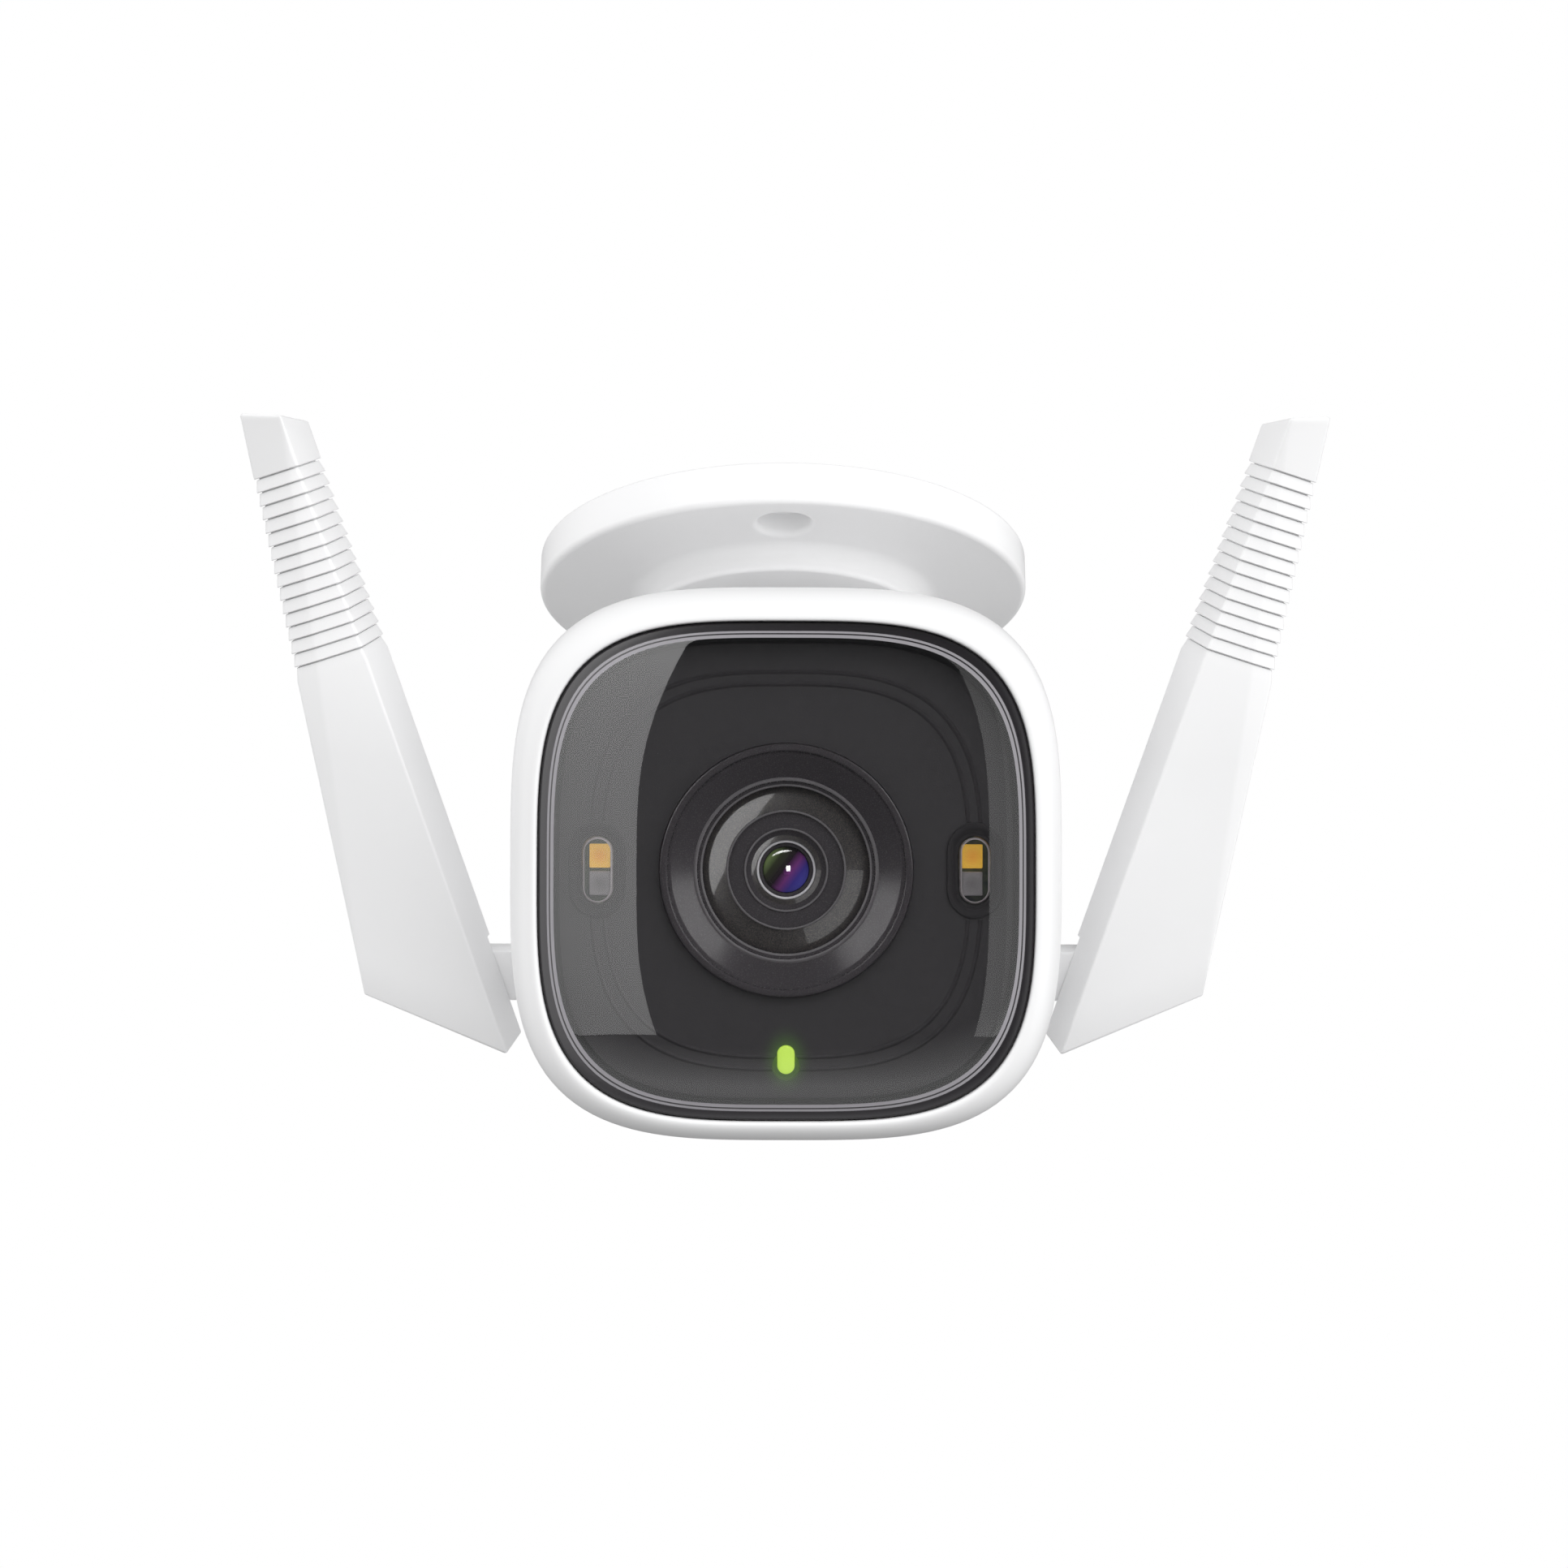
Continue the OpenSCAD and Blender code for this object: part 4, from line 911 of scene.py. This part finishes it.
def lens_stack():
    """Outer glass shoulder, barrel with its rings, and the coated front element."""
    low, high = local_box("lens_barrel", LENS)
    top = high.z
    shoulder = dome(7.0, 9.66, GLASS_CURVE, top + 0.1)
    profile = [(7.0, top - 1.4), (9.66, top - 1.4)] + shoulder
    outer = piece("lens_outer_glass", lathe(profile, 160), LENS, "head", "black_plate",
                  materials=["brown_glass"], angle=40)

    profile = [(4.2, low.z), (6.0, low.z), (6.0, BARREL_SEAT_Z), (6.98, BARREL_SEAT_Z), (6.98, top + 0.3)]
    # The barrel's thin rims are painted a lighter grey as a highlight.
    rims = [(len(profile), len(profile) + 4)]
    profile += fillet((6.84, top + 0.3), 0.14, 0, 180, 6)
    profile += [(6.7, top), (5.0, top - 0.05)]
    rims.append((len(profile), len(profile) + 4))
    profile += fillet((4.78, top), 0.14, 40, 180, 5)
    profile += [(4.62, top - 0.3), (3.5, top - 1.0)]
    # Silver ring, in a pale colour that is partly a painted highlight
    silver = range(len(profile), len(profile) + 8)
    profile += fillet((3.32, top - 0.9), 0.16, 0, 180, 8)
    profile += [(3.05, top - 1.3), (2.75, top - 1.4), (2.7, top - 3.4), (2.6, 57.0), (2.6, 53.0), (4.2, 52.0)]
    bands = [2 if i in silver else band for i, band in enumerate(banded(len(profile), rims))]
    piece("lens_barrel", lathe(profile, bands=bands), LENS, "head", "black_plate", "lens_barrel",
          materials=["lens_black", "rim_line_highlight", "silver_rim_highlight"], angle=24)

    profile = [(3.5, top - 1.05), (4.6, top - 1.05)] + dome(3.5, 4.6, GLASS_CURVE / 2, top - 0.5, 8)
    inner = piece("lens_inner_glass", lathe(profile), LENS, "head", "black_plate",
                  materials=["brown_glass"], angle=40)

    low, high = local_box("front_lens", LENS)
    rim = high.z - LENS_CROWN
    curve = (LENS_GLASS_R ** 2 + LENS_CROWN ** 2) / (2 * LENS_CROWN)
    profile = [(0.01, low.z), (LENS_GLASS_R, low.z), (LENS_GLASS_R, rim)]
    for i in range(1, 17):
        t = i / 16
        r = LENS_GLASS_R * (1 - t) + 0.01 * t
        profile.append((r, high.z - curve + math.sqrt(curve ** 2 - r ** 2)))
    front = piece("front_lens", lathe(profile, 96, closed=False), LENS, "head", "lens_glass", "front_lens",
                  materials=["coated_lens"], angle=60)
    return [outer, inner, front]


# Ceiling plate and stem


def base_plate():
    """Ceiling plate with a rounded rim, a filleted collar and three soft-edged screw recesses."""
    low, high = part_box("base_plate")
    radius = high.x / MM
    collar_low = low.z / MM
    under = collar_low + COLLAR_H
    profile = [(7.5, collar_low)]
    profile += fillet((COLLAR_R - 0.7, collar_low + 0.7), 0.7, -90, 0, 6)
    profile += fillet((COLLAR_R + COLLAR_FILLET, under - COLLAR_FILLET), COLLAR_FILLET, 180, 90, 12)
    profile += fillet((radius - 0.9, under + 0.9), 0.9, -90, 0, 8)
    profile += fillet((radius - 0.7, -0.7), 0.7, 0, 90, 6)
    profile += [(33, 0), (33, -0.8), (11, -0.8), (11, -3.2), (7.5, -3.2)]
    obj = place_mesh("camera_base_plate", lathe(profile, 192), ROW)
    holes = []
    flare = 0.9
    cutter = [(0, under - 2), (RECESS_R + flare, under - 2), (RECESS_R + flare, under)]
    cutter += fillet((RECESS_R + flare, under + flare), flare, -90, -180, 8)[1:]
    cutter += [(RECESS_R, under + 3.2), (RECESS_R - 0.3, under + 3.4), (SCREW_HOLE_R, under + 3.4),
               (SCREW_HOLE_R, 2), (0, 2)]
    for i in range(SCREWS):
        t = math.radians(-90 + 360 * i / SCREWS)
        holes.append(moved(lathe(cutter, 64), SCREW_CIRCLE_R * math.cos(t), SCREW_CIRCLE_R * math.sin(t)))
    combine(obj, holes, ROW, "DIFFERENCE")
    finish_piece(obj, "base", "white_plastic", "base_plate")


def ball_stem():
    """Turned stem: bearing shaft, flange, waisted neck and ball."""
    low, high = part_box("ball_stem")
    centre = BALL.z / MM
    radius = centre - low.z / MM
    shaft_top = high.z / MM
    flange_top, flange_low, edge = -9.5, -11.5, 0.4
    profile = [(0.01, centre - radius)]
    neck_angle = math.asin(NECK_R / radius)
    profile += fillet((0, centre), radius, -88, 90 - math.degrees(neck_angle) - 3, 40)
    profile += fillet((NECK_R + 1.2, centre + radius * math.cos(neck_angle) + 1.3), 1.2, 215, 180, 4)
    profile += fillet((NECK_R + 2.4, flange_low - 2.4), 2.4, 180, 100, 8)
    profile += fillet((FLANGE_R - edge, flange_low + edge), edge, -90, 0, 4)
    profile += fillet((FLANGE_R - edge, flange_top - edge), edge, 0, 90, 4)
    profile += [(6, flange_top), (6, shaft_top), (1.5, shaft_top), (1.5, shaft_top - 8), (0.01, shaft_top - 8)]
    piece("ball_stem", lathe(profile, closed=False), ROW, "stem", "white_plastic", "ball_stem")


# Antennas


def antenna_hub(side, word):
    """Hub: a low flange on the housing and a rounded tongue that carries the hinge pin."""
    place = hub_frame(side)
    low, high = local_box(f"{word}_antenna_hub", place)
    pin_x = (place.inverted() @ hub_axes(side)[3]).x
    half_t = TONGUE_T / 2
    steps = 24
    root_x = HUB_FACE_X - 0.4
    outline_points = [(root_x, -TONGUE_R), (root_x, TONGUE_R)]
    for i in range(steps + 1):
        t = math.pi / 2 - math.pi * i / steps
        outline_points.append((pin_x + TONGUE_R * math.cos(t), TONGUE_R * math.sin(t)))
    edge = 0.35
    rings = []
    for z, inset in ((-half_t, edge), (-half_t + 0.1, edge * 0.3), (-half_t + edge, 0),
                     (half_t - edge, 0), (half_t - 0.1, edge * 0.3), (half_t, edge)):
        shrink = (TONGUE_R - inset) / TONGUE_R
        rings.append([(pin_x + (x - pin_x) * (shrink if x > pin_x else 1), y * shrink, z + TONGUE_Z)
                      for x, y in outline_points])
    obj = place_mesh(f"camera_{word}_antenna_hub", loft(rings), place)
    flange = [(0.01, low.x), (3.0, low.x), (3.0, HUB_FACE_X - 0.6), (4.9, HUB_FACE_X - 0.6)]
    flange += fillet((4.75, HUB_FACE_X - 0.25), 0.25, 0, 90, 4)
    flange += [(0.01, HUB_FACE_X)]
    root_half = (ROOT_FRONT - TONGUE_Z + half_t) / 2
    root = loft([ring(root_half - inset, TONGUE_R - inset, x, power=6.0)
                 for x, inset in ((root_x, 0.08), (root_x + ROOT_L - 0.15, 0.08), (root_x + ROOT_L, 0.2))])
    root = along_x(moved(root, root_half - ROOT_FRONT))
    combine(obj, [root, along_x(lathe(flange, 64, closed=False))], place, "UNION")
    pin_hole = moved(rod(1.25, -8, 0, 32), pin_x)
    lead_hole = along_x(rod(0.9, 20, 40, 32))
    combine(obj, [pin_hole, lead_hole], place, "DIFFERENCE")
    finish_piece(obj, f"{word}_hub", "white_plastic", f"{word}_antenna_hub")


def blade_corners(heights):
    """Five corners of the blade's section, each at its own height along the blade."""
    tip, root = TIP_OUT - ROOT_OUT, ROOT_OUT
    inner, line, outer, rear_outer, rear_inner = heights

    def outer_x(y):
        return ROOT_W + (TIP_W - ROOT_W) * (y - root) / tip

    line_x = ROOT_W * (TIP_IN - line) / (TIP_IN - ROOT_OUT)
    drop = EDGE_DROP * min(1.0, max(0.0, (outer - root) / tip))
    return [Vector((0, inner, BLADE_HALF_T)),
            Vector((min(max(line_x, 0.3), outer_x(line) - 0.02), line, BLADE_HALF_T)),
            Vector((outer_x(outer), outer, BLADE_HALF_T - drop)),
            Vector((outer_x(rear_outer), rear_outer, -BLADE_HALF_T)),
            Vector((-SLANT, rear_inner, -BLADE_HALF_T))]


def inset_corners(corners, inset):
    """Moves a section's corners inward by the same distance from each side, in x and z."""
    count = len(corners)
    result = []
    for i, corner in enumerate(corners):
        before, after = corners[i - 1], corners[(i + 1) % count]
        one = Vector((corner.x - before.x, corner.z - before.z)).normalized()
        two = Vector((after.x - corner.x, after.z - corner.z)).normalized()
        normal_one, normal_two = Vector((one.y, -one.x)), Vector((two.y, -two.x))
        middle = (normal_one + normal_two).normalized()
        shift = middle * inset / max(0.3, middle.dot(normal_one))
        result.append(Vector((corner.x + shift.x, corner.y, corner.z + shift.y)))
    return result


def rounded_section(corners, radius, steps=4):
    """Section with each corner replaced by a short curve."""
    count = len(corners)
    points = []
    for i, corner in enumerate(corners):
        before, after = corners[i - 1], corners[(i + 1) % count]
        start = corner + (before - corner).normalized() * min(radius, (before - corner).length * 0.45)
        end = corner + (after - corner).normalized() * min(radius, (after - corner).length * 0.45)
        for j in range(steps + 1):
            t = j / steps
            points.append(tuple(start * (1 - t) ** 2 + corner * 2 * t * (1 - t) + end * t ** 2))
    return points


def shrunk(points, keep=0.02):
    """Points drawn in to their middle, to close an end that isn't flat."""
    middle = sum((Vector(p) for p in points), Vector()) / len(points)
    return [tuple(middle + (Vector(p) - middle) * keep) for p in points]


def blade_rows():
    """Rows of the blade from its slanted foot over the shingled grip to its slanted tip."""
    corner_r = 0.4
    foot = [ROOT_IN, ROOT_OUT, ROOT_OUT, ROOT_OUT, ROOT_IN]
    tip = [TIP_IN, TIP_IN, TIP_OUT, TIP_OUT - TIP_SLOPE, TIP_IN - TIP_SLOPE]
    first = GROOVE_FROM - GROOVE_PITCH
    last = GROOVE_FROM + (GROOVES - 1) * GROOVE_PITCH

    def row(heights, inset):
        return rounded_section(inset_corners(blade_corners(heights), inset), corner_r)

    rows = []
    for i in range(4):
        t = math.pi / 2 * i / 3
        rows.append(row([y + EDGE_ROUND * (1 - math.cos(t)) for y in foot], EDGE_ROUND * (1 - math.sin(t))))
    for share in (0.12, 0.3, 0.5, 0.75):
        rows.append(row([y + (first - y) * share for y in foot], 0))
    rows.append(row([first] * 5, 0))
    for i in range(GROOVES):
        y = GROOVE_FROM + i * GROOVE_PITCH
        for offset, inset in ((-0.13, GROOVE_D), (-0.11, GROOVE_D + SLIT_D), (0.03, GROOVE_D + SLIT_D),
                              (0.05, 0.06), (0.14, 0.0)):
            rows.append(row([y + offset] * 5, inset))
    for share in (0.3, 0.6, 0.9):
        rows.append(row([last + 0.14 + (y - last - 0.14) * share for y in tip], 0))
    for i in range(4):
        t = math.pi / 2 * i / 3
        rows.append(row([y - EDGE_ROUND * (1 - math.sin(t)) for y in tip], EDGE_ROUND * (1 - math.cos(t))))
    return [shrunk(rows[0])] + rows + [shrunk(rows[-1])]


def antenna_blade(side, word):
    place = blade_frame(side)
    obj = place_mesh(f"camera_{word}_antenna_blade", loft(blade_rows()), place)
    radius, reach = TONGUE_R + LAP_GAP, 14.0
    pocket = [(-reach, -reach), (radius, -reach)] + fillet((0, 0), radius, 0, 90, 12) + [(-reach, radius)]
    lap = prism(pocket, -BLADE_HALF_T - 1, TONGUE_Z + (TONGUE_T + LAP_GAP) / 2)
    pin_hole = rod(1.2, -BLADE_HALF_T - 1.5, 3.7, 32)
    combine(obj, [moved(lap, PIN_INSET), moved(pin_hole, PIN_INSET)], place, "DIFFERENCE")
    finish_piece(obj, f"{word}_antenna", "white_plastic", f"{word}_antenna_blade", angle=28)


# ---------------------------------------------------------------- build

front_ring()
rear_shell()
card_cover()
cable_gland()
window = front_window()
window_gasket()
face_plate()
light_chips()
status_light()
surround = lens_surround()
lenses = lens_stack()
base_plate()
ball_stem()
for side, word in ((-1, "left"), (1, "right")):
    light_window(side, word)
    antenna_hub(side, word)
    antenna_blade(side, word)

for node, obj in NODES.items():
    if not obj.hide_render:
        obj.data.materials.clear()
        dress(obj, [SLOT_OF[node]])

# ---------------------------------------------------------------- stage, lights and camera

scene = bpy.context.scene

# Flat cards over the lens: the plane they lie in, and the heights between which their light fades
CARD_Z = 468.0
CARD_GAP = 3
FADE_Y = (-105, 250)
FLAT_CARDS = (
    ("card_left", [(-62, 600), (-600, 600), (-600, -300), (-62, -105)], (2.0, 3.6), FADE_Y),
    ("card_right", [(190, 600), (190, -152), (700, -330), (700, 600)], (1.2, 0.9), FADE_Y),
    ("card_right_edge", [(285, 600), (285, -186), (700, -330), (700, 600)], (0.3, 0.3), FADE_Y),
    ("card_low", [(-62, -110), (500, -110), (700, -330), (700, -480), (-600, -480), (-600, -302)],
     (1.3, 0.0), (-260, -120)),
)
WEDGE = [(0, 0), (2300, -80.5), (2300, -2300), (690, -2300)]
SPOT = [(9, -28), (71, -28), (71, 54), (9, 54)]

# Soft light from all round: azimuth from the front, elevation in degrees, and strength
LOBES = ((0, 0, 1.6), (50, 0, 1.35), (100, 0, 1.6), (-100, 0, 1.95), (0, 40, 1.25), (-120, 40, 0.95),
         (120, -40, 0.45), (180, -40, 1.0))
LOBE_POWER = 4.0
GLOSSY_WORLD = 0.04
BACKDROP = 1.0

FLOOR_Z_M = -0.20
FLOOR_HALF_M = 3.0


def stage_panel(name, corners, hidden_from):
    """Flat panel of the stage, in its own material and hidden from some kinds of ray."""
    mesh = bpy.data.meshes.new(name)
    mesh.from_pydata(corners, [], [tuple(range(len(corners)))])
    mesh.materials.append(MATERIALS[name])
    obj = bpy.data.objects.new(name, mesh)
    scene.collection.objects.link(obj)
    for kind in hidden_from:
        setattr(obj, "visible_" + kind, False)
    return obj


def floor(height_m, half_m):
    tree, shader = new_material("stage_floor")
    feed(tree, shader, {"Base Color": (0.9, 0.9, 0.9, 1), "Roughness": 0.9})
    corners = [(x * half_m, y * half_m, height_m) for x, y in ((-1, -1), (1, -1), (1, 1), (-1, 1))]
    stage_panel("stage_floor", corners, ("glossy", "diffuse"))


def card_material(name, low, high, z_low, z_high):
    """Light whose strength runs from low to high between two heights, and that hides nothing."""
    tree, shader = new_material(name)
    height = added(tree, "SeparateXYZ", {0: coordinates(tree)}, "Z")
    glow = added(tree, "Emission", {"Strength": ranged(tree, height, low, high, z_low, z_high)})
    both = added(tree, "AddShader", {0: glow, 1: added(tree, "BsdfTransparent", {})})
    feed(tree, tree.nodes["Material Output"], {"Surface": both})
    tree.nodes.remove(shader)
    MATERIALS[name].cycles.emission_sampling = "NONE"


def card(name, points, strengths, receivers, fade_y=FADE_Y):
    """Light card that shows only as a reflection in the given pieces. Points are in the lens frame."""
    card_material(name, *strengths, *[(LENS @ Vector((0, y, CARD_Z))).z for y in fade_y])
    corners = [LENS @ Vector(p) for p in points]
    obj = stage_panel(name, corners, ("camera", "diffuse", "shadow", "transmission"))
    group = bpy.data.collections.new(name + "_receivers")
    for receiver in receivers:
        group.objects.link(receiver)
    obj.light_linking.receiver_collection = group


def facing_panel(azimuth, polar, half_across, half_along, distance=300):
    """Corners of a panel that faces the lens from an azimuth, at a polar angle off its axis."""
    a, p = math.radians(azimuth), math.radians(polar)
    out = Vector((math.cos(a), math.sin(a), 0))
    side = Vector((-math.sin(a), math.cos(a), 0))
    centre = (out * math.sin(p) + Vector((0, 0, 1)) * math.cos(p)) * distance + Vector((0, 0, 62))
    along = out * math.cos(p) - Vector((0, 0, 1)) * math.sin(p)
    return [centre + side * half_across * i + along * half_along * j
            for i, j in ((-1, -1), (1, -1), (1, 1), (-1, 1))]


def world_light():
    """World of soft lobes, dim in reflections and plain white behind the object."""
    world = bpy.data.worlds.new("studio")
    scene.world = world
    world.use_nodes = True
    tree = world.node_tree
    direction = added(tree, "TexCoord", {}, "Generated")
    total = 0.0
    for azimuth, elevation, strength in LOBES:
        a, e = math.radians(azimuth), math.radians(elevation)
        centre = (math.sin(a) * math.cos(e), -math.cos(a) * math.cos(e), math.sin(e))
        lobe = added(tree, "VectorMath", {0: direction, 1: centre}, "Value", operation="DOT_PRODUCT")
        for operation, value in (("MAXIMUM", 0.0), ("POWER", LOBE_POWER), ("MULTIPLY", strength),
                                 ("ADD", total)):
            lobe = added(tree, "Math", {0: lobe, 1: value}, operation=operation)
        total = lobe
    strength = total
    for ray, value in (("Is Glossy Ray", GLOSSY_WORLD), ("Is Camera Ray", BACKDROP)):
        choice = {"Factor": added(tree, "LightPath", {}, ray), "A": strength, "B": value}
        strength = added(tree, "Mix", choice, "Result", data_type="FLOAT")
    feed(tree, tree.nodes["Background"], {"Strength": strength, "Color": (1, 1, 1, 1)})


for i, (name, corners, strengths, fade_y) in enumerate(FLAT_CARDS):
    card(name, [(x, y, CARD_Z + CARD_GAP * i) for x, y in corners], strengths, [window], fade_y)
outer_glass, inner_glass, front_glass = lenses
shoulders = [outer_glass, inner_glass]
card("card_crescent", facing_panel(149, 33, 270, 40), (6.0, 6.0), shoulders)
card("card_cone_right", facing_panel(149, 70, 130, 110), (5.0, 5.0), [surround])
card("card_cone_left", facing_panel(27, 70, 120, 110), (5.0, 5.0), [surround])
card("card_wedge", [(x, y, CARD_Z) for x, y in WEDGE], (2.0, 2.0), shoulders)
card("card_spot", [(x, y, CARD_Z) for x, y in SPOT], (40, 40), [front_glass])
card("card_arc", facing_panel(105, 43, 170, 24), (16, 16), [front_glass])
floor(FLOOR_Z_M, FLOOR_HALF_M)
world_light()

camera_data = bpy.data.cameras.new("camera")
camera_data.sensor_width = 36.0
camera_data.lens = 55.9
camera_data.clip_start = 0.01
camera = bpy.data.objects.new("camera", camera_data)
camera.location = (-0.00216, -0.32849, -0.13692)
camera.rotation_euler = (math.radians(90 + 17.45), 0, math.radians(-0.4))
scene.collection.objects.link(camera)
scene.camera = camera
scene.view_settings.view_transform = "Standard"
